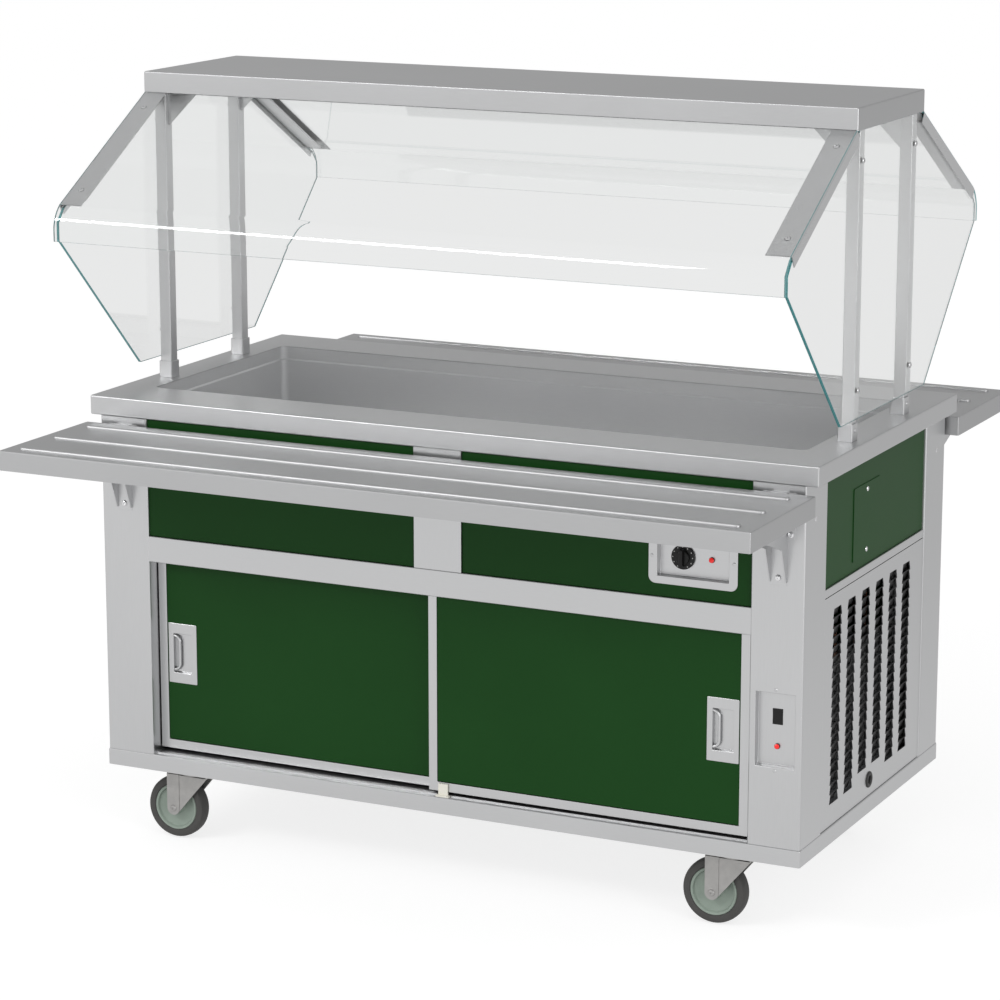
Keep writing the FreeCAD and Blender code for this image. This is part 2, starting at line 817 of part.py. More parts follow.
def make_panels():
    """The powder-coated infill panels: shallow trays set a little behind the posts and rails."""
    seam = s.seam
    wall = s.panel_sheet
    face = -panel_face
    back = face + s.panel_depth
    mullion_side = s.mullion_width / 2 + seam
    low = (seam - bay, face, rail_top + seam)
    high = (-mullion_side, back, cabinet_top - seam)
    node("upper_panel_left", tray_block("upper_left", low, high, wall, "+y"))

    low = (mullion_side, face, rail_top + seam)
    high = (bay - seam, back, cabinet_top - seam)
    blank = tray_block("upper_right", low, high, wall, "+y")
    half_x = s.recess_length / 2 + s.box_sheet + seam
    half_z = s.recess_height / 2 + s.box_sheet + seam
    hole_low = (bezel_x - half_x, face, bezel_z - half_z)
    hole_high = (bezel_x + half_x, face + wall, bezel_z + half_z)
    node("upper_panel_right", cut("upper_right_cut", blank, block("thermostat_cutout", hole_low, hole_high)))

    low = (seam - bay, panel_face - s.panel_depth, deck + seam)
    high = (bay - seam, panel_face, cabinet_top - seam)
    node("rear_panel", tray_block("rear_tray", low, high, wall, "-y"))

    low = (-end_panel_face, seam - side_bay, deck + seam)
    high = (s.panel_depth - end_panel_face, side_bay - seam, cabinet_top - seam)
    node("left_end_panel", tray_block("left_end", low, high, wall, "+x"))

    low = (end_panel_face - s.panel_depth, seam - side_bay, end_panel_bottom)
    high = (end_panel_face, side_bay - seam, cabinet_top - seam)
    blank = tray_block("right_end", low, high, wall, "-x")
    hatch_y = -s.hatch_from_middle
    half = s.hatch_side / 2 - s.hatch_lap
    hole_low = (end_panel_face - wall, hatch_y - half, hatch_z - half)
    hole_high = (end_panel_face, hatch_y + half, hatch_z + half)
    node("right_end_panel", cut("right_end_cut", blank, block("hatch_hole", hole_low, hole_high)))

    half = s.hatch_side / 2
    low = (end_panel_face, hatch_y - half, hatch_z - half)
    high = (end_panel_face + wall, hatch_y + half, hatch_z + half)
    pieces = [block("hatch_plate", low, high)]
    for name, side in (("hatch_screw_low", -1), ("hatch_screw_high", 1)):
        height = hatch_z + (half - s.screw_head) * side
        foot = (end_panel_face + wall, hatch_y, height)
        pieces.append(rod(name, foot, s.screw_head / 3, s.pull_lip, TURN_TO_X))
    node("access_hatch", fuse("access_hatch", *pieces))


def make_louvre_panel():
    """A stainless tray flush with the posts, with six columns of pressed louvres and the cord's hole."""
    depth = s.panel_depth
    low = deck + s.seam
    high = louvre_panel_top
    y = side_bay - s.seam
    body = doc.addObject("PartDesign::Body", "louvre_tray")
    place(body, (half_length - depth, 0, 0))
    pad = body.newObject("PartDesign::Pad", "louvre_sheet")
    pad.Profile = outline(body, "louvre_outline", "YZ_Plane", [(-y, low), (y, low), (y, high), (-y, high)])
    bind(pad, "Length", depth)
    inner = y - s.sheet
    corners = [
        (-inner, low + s.sheet),
        (inner, low + s.sheet),
        (inner, high - s.sheet),
        (-inner, high - s.sheet),
    ]
    hollow = body.newObject("PartDesign::Pocket", "louvre_hollow")
    hollow.Profile = outline(body, "louvre_inside", "YZ_Plane", corners)
    hollow.Reversed = True
    bind(hollow, "Length", depth - s.sheet)
    full_rows = s.louvre_rows - 1
    top = high - s.louvre_top_margin
    pitch = (top - low - s.louvre_bottom_margin) / s.louvre_rows
    slots, sketch = louvre_row(body, "louvre_first_row", range(6), top, pitch)
    rows = body.newObject("PartDesign::LinearPattern", "louvre_rows")
    rows.Originals = [slots]
    rows.Direction = (sketch, ["V_Axis"])
    rows.Reversed = True
    bind(rows, "Length", pitch * (full_rows - 1))
    bind(rows, "Occurrences", full_rows)
    body.Tip = rows
    # the last row leaves the middle free for the cord's grommet
    last, sketch = louvre_row(body, "louvre_last_row", (0, 1, 4, 5), top - pitch * full_rows, pitch)
    body.Tip = last
    hole_foot = (half_length - depth, -s.grommet_from_middle, s.grommet_height)
    hole = rod("cord_hole", hole_foot, s.grommet_neck / 2, depth, TURN_TO_X)
    node("louvre_panel", cut("louvre_panel_cut", body, hole))


def louvre_row(body, name, columns, top, pitch):
    """One row of louvre slots, wider below than above, in the chosen ones of six columns."""
    sketch = body.newObject("Sketcher::SketchObject", name + "_outline")
    sketch.AttachmentSupport = (origin_plane(body, "YZ_Plane"), "")
    sketch.MapMode = "FlatFace"
    bottom = top - pitch + s.louvre_bridge
    flare = s.louvre_flare
    for column in columns:
        left = s.louvre_column_pitch * (column - 2.5) - s.louvre_length / 2 - s.louvre_from_middle
        right = left + s.louvre_length
        add_loop(sketch, [(left, bottom), (right, bottom), (right - flare, top), (left + flare, top)])
    slots = body.newObject("PartDesign::Pocket", name)
    slots.Profile = sketch
    slots.Reversed = True
    bind(slots, "Length", s.panel_depth)
    return slots, sketch


def make_grommet():
    """The rubber grommet where the supply cord enters: a neck in the sheet between two flanges."""
    bore = s.grommet_bore / 2
    neck = s.grommet_neck / 2
    flange = s.grommet_flange / 2
    inner_flange = flange - s.grommet_lip_step
    corners = [
        (bore, -s.sheet - s.grommet_inner_lip),
        (inner_flange, -s.sheet - s.grommet_inner_lip),
        (inner_flange, -s.sheet),
        (neck, -s.sheet),
        (neck, 0),
        (flange, 0),
        (flange, s.grommet_outer_lip - s.grommet_bevel),
        (flange - s.grommet_bevel, s.grommet_outer_lip),
        (bore, s.grommet_outer_lip),
    ]
    centre = (half_length, -s.grommet_from_middle, s.grommet_height)
    node("cord_grommet", turned("cord_grommet", corners, centre, TURN_TO_X))


def make_divider():
    """The wall between the storage space and the condensing unit, with a foot flange on the deck."""
    x = half_length - s.machine_bay
    front = -half_depth + s.door_setback + s.door_spacing + s.door_thickness + s.divider_front_gap
    back = panel_face - s.panel_depth - s.seam
    top = case_bottom - s.divider_gap
    wall = block("divider_wall", (x, front, deck), (x + s.panel_sheet, back, top))
    foot = block("divider_foot", (x, front, deck), (x + s.post_return, back, deck + s.panel_sheet))
    node("machine_divider", fuse("machine_divider", wall, foot))


# ---- counter and cold well -----------------------------------------------------------------------------------
def rounded_block(name, low, high, radius, with_bottom):
    """A box with rounded upright edges and, where asked, a rounded bottom."""
    box = block(name + "_square", low, high)
    bottom = as_size(low[2]).value

    def chosen(a, b):
        on_bottom = same(a.z, bottom) and same(b.z, bottom)
        return upright_edge(a, b) or (with_bottom and on_bottom)

    return round_edges(name, box, radius, chosen)


def make_counter():
    """One folded stainless sheet with turned-down edges and a return underneath, cut out for the well."""
    x = counter_half_length
    y = counter_half_depth
    blank = block("counter_blank", (-x, -y, cabinet_top), (x, y, counter_top))
    top = counter_top.value

    def chosen(a, b):
        return upright_edge(a, b) or (same(a.z, top) and same(b.z, top))

    rounded = round_edges("counter_rounded", blank, s.counter_round, chosen)
    wall = s.sheet
    inside_low = (wall - x, wall - y, cabinet_top + wall)
    inside = block("counter_inside", inside_low, (x - wall, y - wall, counter_top - wall))
    back = s.counter_return
    below = block("counter_below", (back - x, back - y, cabinet_top), (x - back, y - back, cabinet_top + wall))
    half_x = well_half_length
    half_y = well_half_width
    low = (-half_x, -half_y, counter_top - wall)
    opening = rounded_block("counter_opening", low, (half_x, half_y, counter_top), s.well_cove, False)
    node("counter_top", cut("counter_top", rounded, inside, below, opening))


well_rim = counter_top - s.sheet
well_bottom = counter_top - s.well_depth
case_half_x = end_panel_face - s.panel_depth - s.case_end_gap
case_half_y = well_half_width + s.well_sheet + s.coil_space + s.insulation_side + s.case_sheet
case_bottom = well_bottom - s.well_sheet - s.insulation_floor - s.case_sheet
tube_offset = s.well_sheet - s.well_ledge + s.tube_diameter / 2 + s.tube_clearance
run_x = well_half_length + tube_offset
run_y = well_half_width + tube_offset
first_turn = well_bottom + s.coil_bottom
last_turn = first_turn + s.coil_pitch * s.coil_turns


def well_solid(name, grow):
    """The well's space, grown by a wall thickness: a straight collar over a body set in by the ledge."""
    x = well_half_length + grow
    y = well_half_width + grow
    ledge_z = counter_top - s.well_ledge_drop - grow
    radius = s.well_cove + grow
    inset = s.well_ledge
    collar = rounded_block(name + "_collar", (-x, -y, ledge_z), (x, y, well_rim), radius, False)
    low = (inset - x, inset - y, well_bottom - grow)
    bowl = rounded_block(name + "_bowl", low, (x - inset, y - inset, well_rim), radius, True)
    return fuse(name, collar, bowl)


def make_well():
    """The coved stainless liner with its rim flange, the foam round it and the outer case."""
    outside = well_solid("well_outside", s.well_sheet)
    inside = well_solid("well_inside", Size("0", 0))
    flange_low = (-case_half_x, -case_half_y, well_rim - s.well_sheet)
    flange = block("well_flange", flange_low, (case_half_x, case_half_y, well_rim))
    pipe_hole_foot = (drain_x, 0, case_bottom)
    through = well_bottom - case_bottom
    hole = rod("liner_drain_hole", pipe_hole_foot, s.drain_pipe / 2 + s.drain_hole_clearance, through)
    node("well_liner", cut("well_liner", fuse("well_blank", outside, flange), inside, hole))

    wall = s.case_sheet
    low = (wall - case_half_x, wall - case_half_y, case_bottom + wall)
    high = (case_half_x - wall, case_half_y - wall, well_rim - s.well_sheet)
    foam_blank = block("foam_blank", low, high)
    space_x = well_half_length + s.well_sheet + s.coil_space
    space_y = well_half_width + s.well_sheet + s.coil_space
    floor = well_bottom - s.well_sheet
    space = block("coil_space_cut", (-space_x, -space_y, floor), (space_x, space_y, high[2]))
    tube_hole = s.tube_diameter / 2 + s.tube_hole_clearance
    liquid_hole = rod("foam_liquid_hole", (liquid_line_x, run_y, case_bottom), tube_hole, through)
    drain_hole = rod("foam_drain_hole", pipe_hole_foot, s.drain_pipe / 2 + s.tube_hole_clearance, through)
    suction_foot = (suction_line_x, case_half_y, last_turn)
    suction_hole = rod("foam_suction_hole", suction_foot, tube_hole, s.insulation_side + s.tube_bend / 4, TURN_TO_MINUS_Y)
    chase_low = (suction_line_x - tube_hole, 0, last_turn - tube_hole)
    chase_high = (suction_line_x + s.tube_bend, run_y + s.tube_bend, last_turn + tube_hole)
    chase = block("suction_chase", chase_low, chase_high)
    foam = cut("well_insulation", foam_blank, space, liquid_hole, drain_hole, suction_hole, chase)
    node("well_insulation", foam)

    case_low = (-case_half_x, -case_half_y, case_bottom)
    case_blank = block("case_blank", case_low, (case_half_x, case_half_y, high[2]))
    case_inside = block("case_inside", low, high)
    case_liquid = rod("case_liquid_hole", (liquid_line_x, run_y, case_bottom), tube_hole, through)
    case_drain = rod("case_drain_hole", pipe_hole_foot, s.drain_pipe / 2 + s.tube_hole_clearance, through)
    case_suction = rod("case_suction_hole", suction_foot, tube_hole, s.insulation_side + s.tube_bend / 4, TURN_TO_MINUS_Y)
    node("well_case", cut("well_case", case_blank, case_inside, case_liquid, case_drain, case_suction))


def make_drain():
    """The drain: a strainer flange, a pipe through the case and a ball valve worked by a quarter-turn lever."""
    pipe = s.drain_pipe / 2
    bottom = well_bottom - s.drain_length
    flange = rod("drain_flange", (drain_x, 0, well_bottom), s.drain_flange / 2, s.drain_flange_sheet)
    tail = rod("drain_tail", (drain_x, 0, bottom), pipe, s.drain_length)
    half = s.valve_body / 2
    centre = well_bottom - s.valve_drop
    low = (drain_x - half, -half, centre - half)
    body = block("valve_body", low, (drain_x + half, half, centre + half))
    stem_length = s.lever_sheet * 3
    stem = rod("valve_stem", (drain_x, -half, centre), s.valve_stem / 2, stem_length, TURN_TO_MINUS_Y)
    nut_foot = (drain_x, -half - s.lever_sheet - s.seam * 2, centre)
    nut = rod("valve_nut", nut_foot, s.valve_stem * 0.8, s.lever_sheet, TURN_TO_MINUS_Y)
    whole = fuse("drain_blank", flange, tail, body, stem, nut)
    bore = rod("drain_bore", (drain_x, 0, bottom), pipe - s.drain_wall, s.drain_length + s.drain_flange_sheet)
    node("drain_valve", cut("drain_valve", whole, bore))

    gap = s.seam
    front = -half - gap - s.lever_sheet
    arm_low = (drain_x, front, centre - s.lever_width / 2)
    arm_high = (drain_x + s.lever_length, front + s.lever_sheet, centre + s.lever_width / 2)
    arm = block("lever_arm", arm_low, arm_high)
    hub_foot = (drain_x, front + s.lever_sheet, centre)
    hub = rod("lever_hub", hub_foot, s.lever_width * 0.65, s.lever_sheet, TURN_TO_MINUS_Y)
    grip_low = (drain_x + s.lever_length / 2, front - 2, centre - s.lever_width / 2 - 1)
    grip_high = (drain_x + s.lever_length + 4, front + s.lever_sheet, centre + s.lever_width / 2 + 1)
    grip = block("lever_grip", grip_low, grip_high)
    hole_foot = (drain_x, -half, centre)
    hole = rod("lever_hole", hole_foot, s.valve_stem / 2 + s.pin_clearance, stem_length, TURN_TO_MINUS_Y)
    node("drain_lever", cut("drain_lever", fuse("lever_blank", arm, hub, grip), hole))


# ---- condensing unit -----------------------------------------------------------------------------------------
unit_top = deck + s.unit_base_height
condenser_right = unit_right - s.coil_gap
condenser_left = condenser_right - s.coil_depth
shroud_left = condenser_left - s.shroud_depth
fan_z = unit_top + s.coil_height / 2


def make_condensing_unit():
    """The base, the compressor, and the condenser with its shroud, motor and fan."""
    low = (unit_right - s.unit_base_length, -s.unit_base_width / 2, deck)
    high = (unit_right, s.unit_base_width / 2, unit_top)
    node("condensing_base", tray_block("condensing_tray", low, high, s.sheet, "-z"))

    radius = s.compressor_radius
    height = s.compressor_height
    foot = radius + s.compressor_foot
    seam = radius + s.compressor_seam
    seam_low = height / 2 - s.compressor_seam_half
    seam_high = height / 2 + s.compressor_seam_half
    corners = [
        (0, 0),
        (foot, 0),
        (foot, s.compressor_foot_sheet),
        (radius, s.compressor_foot_rise),
        (radius, seam_low),
        (seam, seam_low),
        (seam, seam_high),
        (radius, seam_high),
        (radius, height - s.compressor_shoulder),
        (radius * 0.82, height - s.compressor_crown),
        (radius * 0.45, height),
        (0, height),
    ]
    centre = (compressor_x, s.compressor_y, unit_top)
    can = turned("compressor_can", corners, centre)
    box_bottom = unit_top + s.terminal_bottom
    half_box = s.terminal_width / 2
    box_low = (compressor_x - half_box, s.compressor_y - radius - s.terminal_reach, box_bottom)
    box_high = (compressor_x + half_box, s.compressor_y - radius / 2, box_bottom + s.terminal_height)
    node("compressor", fuse("compressor", can, block("terminal_box", box_low, box_high)))

    half = s.coil_face / 2
    core = block("condenser_core", (condenser_left, -half, unit_top), (condenser_right, half, unit_top + s.coil_height))
    grooves = []
    half_groove = s.fin_groove_width / 2
    margin = s.fin_groove_margin
    for index in range(int(s.fin_grooves.value)):
        y = s.coil_face * (index + 0.5) / s.fin_grooves - half
        groove_low = (condenser_right - s.fin_groove_depth, y - half_groove, unit_top + margin)
        groove_high = (condenser_right, y + half_groove, unit_top + s.coil_height - margin)
        grooves.append(block(f"fin_groove_{index}", groove_low, groove_high))
    ring = s.fan_radius + s.fan_tip_gap
    shroud = rod("fan_shroud", (shroud_left, 0, fan_z), ring + s.sheet, s.shroud_depth, TURN_TO_X)
    throat = rod("fan_throat", (shroud_left, 0, fan_z), ring, s.shroud_depth, TURN_TO_X)
    dressed = cut("condenser_fins", core, *grooves)
    node("condenser_coil", fuse("condenser_coil", dressed, cut("shroud_ring", shroud, throat)))

    motor_right = shroud_left - s.motor_gap
    motor_left = motor_right - s.motor_length
    motor = rod("motor_can", (motor_left, 0, fan_z), s.motor_radius, s.motor_length, TURN_TO_X)
    half_stand = s.motor_stand_width / 2
    stand_left = motor_left + s.motor_stand_inset
    post_low = (stand_left, -half_stand, unit_top)
    post_high = (stand_left + s.motor_stand_sheet, half_stand, fan_z)
    foot_high = (stand_left + s.motor_foot_length, half_stand, unit_top + s.motor_foot_sheet)
    stand = fuse("motor_blank", motor, block("motor_stand", post_low, post_high), block("motor_foot", post_low, foot_high))
    shaft_hole_radius = s.fan_shaft / 2 + s.pin_clearance / 2
    shaft_foot = (motor_right - s.motor_bore_depth, 0, fan_z)
    hole = rod("motor_bore", shaft_foot, shaft_hole_radius, s.motor_bore_depth, TURN_TO_X)
    node("fan_motor", cut("fan_motor", stand, hole))

    hub_left = shroud_left + s.fan_hub_gap
    hub = rod("fan_hub", (hub_left, 0, fan_z), s.fan_hub_radius, s.fan_hub_length, TURN_TO_X)
    shaft_start = motor_right - s.motor_bore_depth + s.fan_hub_gap / 2
    shaft_length = hub_left + s.fan_hub_gap - shaft_start
    shaft = rod("fan_shaft", (shaft_start, 0, fan_z), s.fan_shaft / 2, shaft_length, TURN_TO_X)
    node("fan_blade", fuse("fan_blade", hub, shaft, fan_blades(hub_left)))


def fan_blades(hub_left):
    """Four flat pitched blades round the hub."""
    width = s.blade_width.value
    reach = s.fan_radius.value
    root = s.fan_hub_radius.value * 0.7
    sheet = s.blade_sheet.value
    centre = FreeCAD.Vector(hub_left.value + s.fan_hub_length.value / 2, 0, fan_z.value)
    blades = []
    for quarter in range(4):
        blade = Part.makeBox(sheet, width, reach - root, FreeCAD.Vector(-sheet / 2, -width / 2, root))
        # the tips are cut to the fan's own circle
        blade = blade.common(Part.makeCylinder(reach, width, FreeCAD.Vector(-width / 2, 0, 0), X_AXIS))
        blade.rotate(FreeCAD.Vector(), Z_AXIS, s.fan_pitch.value)
        blade.rotate(FreeCAD.Vector(), X_AXIS, 90 * quarter)
        blade.translate(centre)
        blades.append(blade)
    feature = doc.addObject("Part::Feature", "fan_blade_set")
    feature.Shape = Part.makeCompound(blades)
    return feature


def bent_tube(points, bend, radius):
    """A round tube along straight runs joined by arcs of one bend radius."""
    edges = []
    start = points[0]
    for before, corner, after in zip(points, points[1:], points[2:]):
        inward = (before - corner).normalize()
        onward = (after - corner).normalize()
        turn = math.pi - inward.getAngle(onward)
        reach = bend * math.tan(turn / 2)
        entry = corner + inward * reach
        leave = corner + onward * reach
        middle = (inward + onward).normalize()
        top = corner + middle * (bend / math.cos(turn / 2) - bend)
        edges.append(Part.LineSegment(start, entry).toShape())
        edges.append(Part.Arc(entry, top, leave).toShape())
        start = leave
    edges.append(Part.LineSegment(start, points[-1]).toShape())
    path = Part.Wire(edges)
    section = Part.Wire(Part.Circle(points[0], points[1] - points[0], radius).toShape())
    tube = path.makePipeShell([section], True, True)
    expected = path.Length * math.pi * radius * radius
    if abs(tube.Volume - expected) > 0.01 * expected:
        raise RuntimeError("a tube's volume does not match its path")
    return tube


def make_refrigerant_tubing():
    """One copper line from the condenser round the well and back to the compressor, and the hot-gas line."""
    radius = s.tube_diameter.value / 2
    bend = s.tube_bend.value
    x = run_x.value
    y = run_y.value
    low = first_turn.value
    rise = s.coil_pitch.value
    condenser_top = unit_top.value + s.coil_height.value
    condenser_x = (condenser_left.value + condenser_right.value) / 2
    offset = s.line_offset.value
    run_height = condenser_top + s.line_run_height.value
    point = FreeCAD.Vector
    points = [
        point(condenser_x, offset, condenser_top),
        point(condenser_x, offset, run_height),
        point(liquid_line_x.value, y, run_height),
        point(liquid_line_x.value, y, low),
    ]
    for turn in range(int(s.coil_turns.value)):
        z = low + rise * turn
        points += [point(-x, y, z), point(-x, -y, z), point(x, -y, z), point(x, y, z + rise)]
    z = low + rise * int(s.coil_turns.value)
    outside = case_half_y.value + s.suction_stand_off.value
    stub = s.compressor_y.value + s.compressor_radius.value
    stub_z = unit_top.value + s.line_run_height.value
    points += [
        point(suction_line_x.value, y, z),
        point(suction_line_x.value, outside, z),
        point(suction_line_x.value, outside, stub_z),
        point(compressor_x.value, outside, stub_z),
        point(compressor_x.value, stub, stub_z),
    ]
    cold_line = bent_tube(points, bend, radius)
    can_top = unit_top.value + s.compressor_height.value
    # the hot line crosses under the liquid line
    hot_height = run_height - s.tube_diameter.value - 2
    hot_points = [
        point(compressor_x.value, s.compressor_y.value, can_top),
        point(compressor_x.value, s.compressor_y.value, hot_height),
        point(condenser_x, -offset, hot_height),
        point(condenser_x, -offset, condenser_top),
    ]
    hot_line = bent_tube(hot_points, bend, radius)
    feature = doc.addObject("Part::Feature", "refrigerant_tubing")
    feature.Shape = Part.makeCompound([cold_line, hot_line])
    node("refrigerant_tubing", feature)


# ---- overshelf, posts and glass ------------------------------------------------------------------------------
shelf_x = counter_half_length - s.shelf_end_inset
shelf_y = s.shelf_depth / 2
glass_out = shelf_x - s.arm_flange_sheet - s.glass_gap
glass_in = glass_out - s.glass
post_out = glass_in - s.glass_gap
post_centre = post_out - s.post_tube / 2
post_y = s.post_spacing / 2
guard_y = s.guard_depth / 2
slope_sin = sine(s.arm_slope)
slope_cos = cosine(s.arm_slope)


def make_overshelf():
    """A folded stainless shelf, open underneath."""
    low = (-shelf_x, -shelf_y, shelf_bottom)
    high = (shelf_x, shelf_y, shelf_top)
    node("overshelf", tray_block("overshelf", low, high, s.sheet, "-z"))


def make_posts():
    """Four square tube posts, each with a foot collar and a gusset up inside the shelf."""
    half = s.post_tube / 2
    top = shelf_top - s.sheet
    low = (post_centre - half, -post_y - half, counter_top)
    high = (post_centre + half, half - post_y, top)
    tube = block("post_outer", low, high)
    wall = s.post_wall
    hollow_low = (low[0] + wall, low[1] + wall, counter_top)
    hollow = block("post_hollow", hollow_low, (high[0] - wall, high[1] - wall, top))
    collar_half = s.collar_side / 2
    collar_low = (post_centre - collar_half, -post_y - collar_half, counter_top)
    collar_high = (post_centre + collar_half, collar_half - post_y, counter_top + s.collar_height)
    collar = block("post_collar", collar_low, collar_high)
    side = low[0]
    corners = [
        (side, shelf_bottom - s.gusset_leg),
        (side, top),
        (side - s.gusset_leg, top),
        (side - s.gusset_leg, shelf_bottom),
    ]
    gusset = padded("post_gusset", "XZ_Plane", corners, s.gusset_plate, (0, -post_y - s.gusset_plate / 2, 0))
    screw_foot = (post_centre + collar_half, -post_y, counter_top + s.collar_screw_height)
    screw = rod("collar_screw", screw_foot, s.screw_head / 3, s.screw_head_height, TURN_TO_X)
    holes = []
    for name, height in post_screw_heights():
        foot = (post_centre, -post_y, height)
        holes.append(rod(f"post_{name}_hole", foot, s.screw / 2 + s.screw_clearance, s.post_tube, TURN_TO_X))
    post = cut("guard_post", fuse("post_blank", tube, collar, gusset, screw), hollow, *holes)
    node("shelf_posts", group("shelf_posts", four_ways("guard_post_set", post)))


def post_screw_heights():
    return (("upper", shelf_bottom - s.post_screw_drop), ("lower", counter_top + s.post_screw_rise))


def sloped(name, rule_for_foot, radius, length):
    """A round bar square to the arm's face, running into the guard."""
    bar = doc.addObject("Part::Cylinder", name)
    bind(bar, "Radius", radius)
    bind(bar, "Height", length)
    place(bar, rule_for_foot, FreeCAD.Rotation(X_AXIS, HALF_TURN + 1))
    bind(bar, "Placement.Rotation.Angle", HALF_TURN + s.arm_slope)
    return bar


def arm_point(along, depth):
    """Y and Z of a point that lies along the arm from the shelf's edge and a depth under its face."""
    y = -shelf_y - along * slope_cos + depth * slope_sin
    z = shelf_bottom - along * slope_sin - depth * slope_cos
    return y, z


def arm_screw_bars(name, x, start, radius, length):
    """The two screw positions along an arm, as bars for screws or for their holes."""
    bars = []
    for index, along in enumerate((s.arm_screw_inset, s.arm_length - s.arm_screw_inset)):
        y, z = arm_point(along, start)
        bars.append(sloped(f"{name}_{index}", (x, y, z), radius, length))
    return bars


arm_screw_x = shelf_x - s.arm_width / 2
hole_radius = s.screw / 2 + s.screw_clearance
glass_top_depth = s.arm_sheet + s.gasket
clamp_depth = glass_top_depth + s.glass + s.clamp_play


def slope_outline(near, far, start, end):
    """A strip under the arm's face between two depths, square at both ends."""
    return [arm_point(start, near), arm_point(end, near), arm_point(end, far), arm_point(start, far)]


def make_arms():
    """Folded angles that run down from the shelf over the edges of the sloping glass."""
    width = s.arm_width
    web_left = shelf_x - width
    bottom_outer = arm_point(s.arm_length, 0)
    bottom_inner = arm_point(s.arm_length, s.arm_sheet)
    inner_top = (s.arm_sheet / slope_sin - shelf_y, shelf_bottom)
    web = [(-shelf_y, shelf_bottom), bottom_outer, bottom_inner, inner_top]
    face = padded("arm_face", "YZ_Plane", web, width, (web_left, 0, 0))
    ear_low = (web_left, s.sheet - shelf_y, shelf_bottom)
    ear_high = (shelf_x - s.sheet, s.sheet + s.arm_sheet - shelf_y, shelf_bottom + s.arm_tab)
    ear = block("arm_ear", ear_low, ear_high)
    flange_end = arm_point(s.arm_length, s.arm_flange)
    flange_y = -shelf_y + s.arm_flange / slope_sin
    flange = [(-shelf_y, shelf_bottom), bottom_outer, flange_end, (flange_y, shelf_bottom)]
    side = padded("arm_side", "YZ_Plane", flange, s.arm_flange_sheet, (shelf_x - s.arm_flange_sheet, 0, 0))
    holes = arm_screw_bars("arm_hole", arm_screw_x, -1, hole_radius, s.arm_sheet + 2)
    arm = cut("glass_arm", fuse("arm_blank", face, side, ear), *holes)
    node("glass_arms", group("glass_arms", four_ways("glass_arm_set", arm)))


def glass_profile(near):
    """The front pane's edge line at a depth under the arms: down the slope, over the bend, to the foot."""
    y_foot = near - s.arm_sheet - s.gasket - guard_y
    along = (guard_y - near + s.arm_sheet + s.gasket - shelf_y + near * slope_sin) / slope_cos
    z_corner = shelf_bottom - along * slope_sin - near * slope_cos
    top = shelf_bottom - s.glass_gap
    y_top = near / slope_sin - shelf_y - s.glass_gap * slope_cos / slope_sin
    return (y_top, top), (y_foot, z_corner), (y_foot, counter_top + s.glass_foot)


def make_long_glass():
    """The front and rear panes: a slope that bends down into a short upright hem."""
    out_top, out_corner, out_foot = glass_profile(glass_top_depth)
    in_top, in_corner, in_foot = glass_profile(glass_top_depth + s.glass)
    corners = [out_top, out_corner, out_foot, in_foot, in_corner, in_top]
    pane = padded("long_pane", "YZ_Plane", corners, glass_out * 2, (-glass_out, 0, 0))
    bend_pane(pane, "pane_outer_bend", [out_corner], s.glass_bend)
    bend_pane(pane, "pane_inner_bend", [in_corner], s.glass_bend - s.glass)
    holes = arm_screw_bars("pane_hole", arm_screw_x, s.arm_sheet, hole_radius + s.glass_hole_play, s.glass * 2)
    left_holes = [mirror(f"{bar.Name}_across", bar, X_AXIS) for bar in holes]
    front = cut("front_glass", pane, *holes, *left_holes)
    node("front_glass", front)
    node("rear_glass", mirror("rear_glass", front, Y_AXIS))


def bend_pane(pane, name, corners, radius):
    """Rounds the edges of a pane that run along X through the given corners of its outline."""
    doc.recompute()
    flat = pane.Tip
    names = []
    for number, edge in enumerate(flat.Shape.Edges, start=1):
        ends = [vertex.Point for vertex in edge.Vertexes]
        for y, z in corners:
            if all(abs(end.y - y.value) < 0.01 and abs(end.z - z.value) < 0.01 for end in ends):
                names.append(f"Edge{number}")
    bend = pane.newObject("PartDesign::Fillet", name)
    bend.Base = (flat, names)
    bind(bend, "Radius", radius)
    pane.Tip = bend


def make_end_glass():
    """The flat end panes, screwed to the posts and shaped to the long panes' inner faces."""
    depth = glass_top_depth + s.glass + s.seam * 2
    top, corner, foot = glass_profile(depth)
    low = counter_top + s.end_glass_gap
    half_foot = s.end_glass_foot / 2
    front_side = [top, corner, foot, (-half_foot, low)]
    rear_side = [(-y, z) for y, z in reversed(front_side)]
    pane = padded("end_pane", "YZ_Plane", front_side + rear_side, s.glass, (glass_in, 0, 0))
    both_corners = [corner, (-corner[0], corner[1])]
    bend_pane(pane, "end_pane_bend", both_corners, s.glass_bend - s.glass - s.seam * 2)
    holes = []
    for name, height in post_screw_heights():
        for side_name, side in (("front", -1), ("rear", 1)):
            foot_point = (glass_in, post_y * side, height)
            hole = rod(f"end_pane_{side_name}_{name}", foot_point, hole_radius + s.glass_hole_play, s.glass, TURN_TO_X)
            holes.append(hole)
    right = cut("right_end_glass", pane, *holes)
    node("right_end_glass", right)
    node("left_end_glass", mirror("left_end_glass", right, X_AXIS))


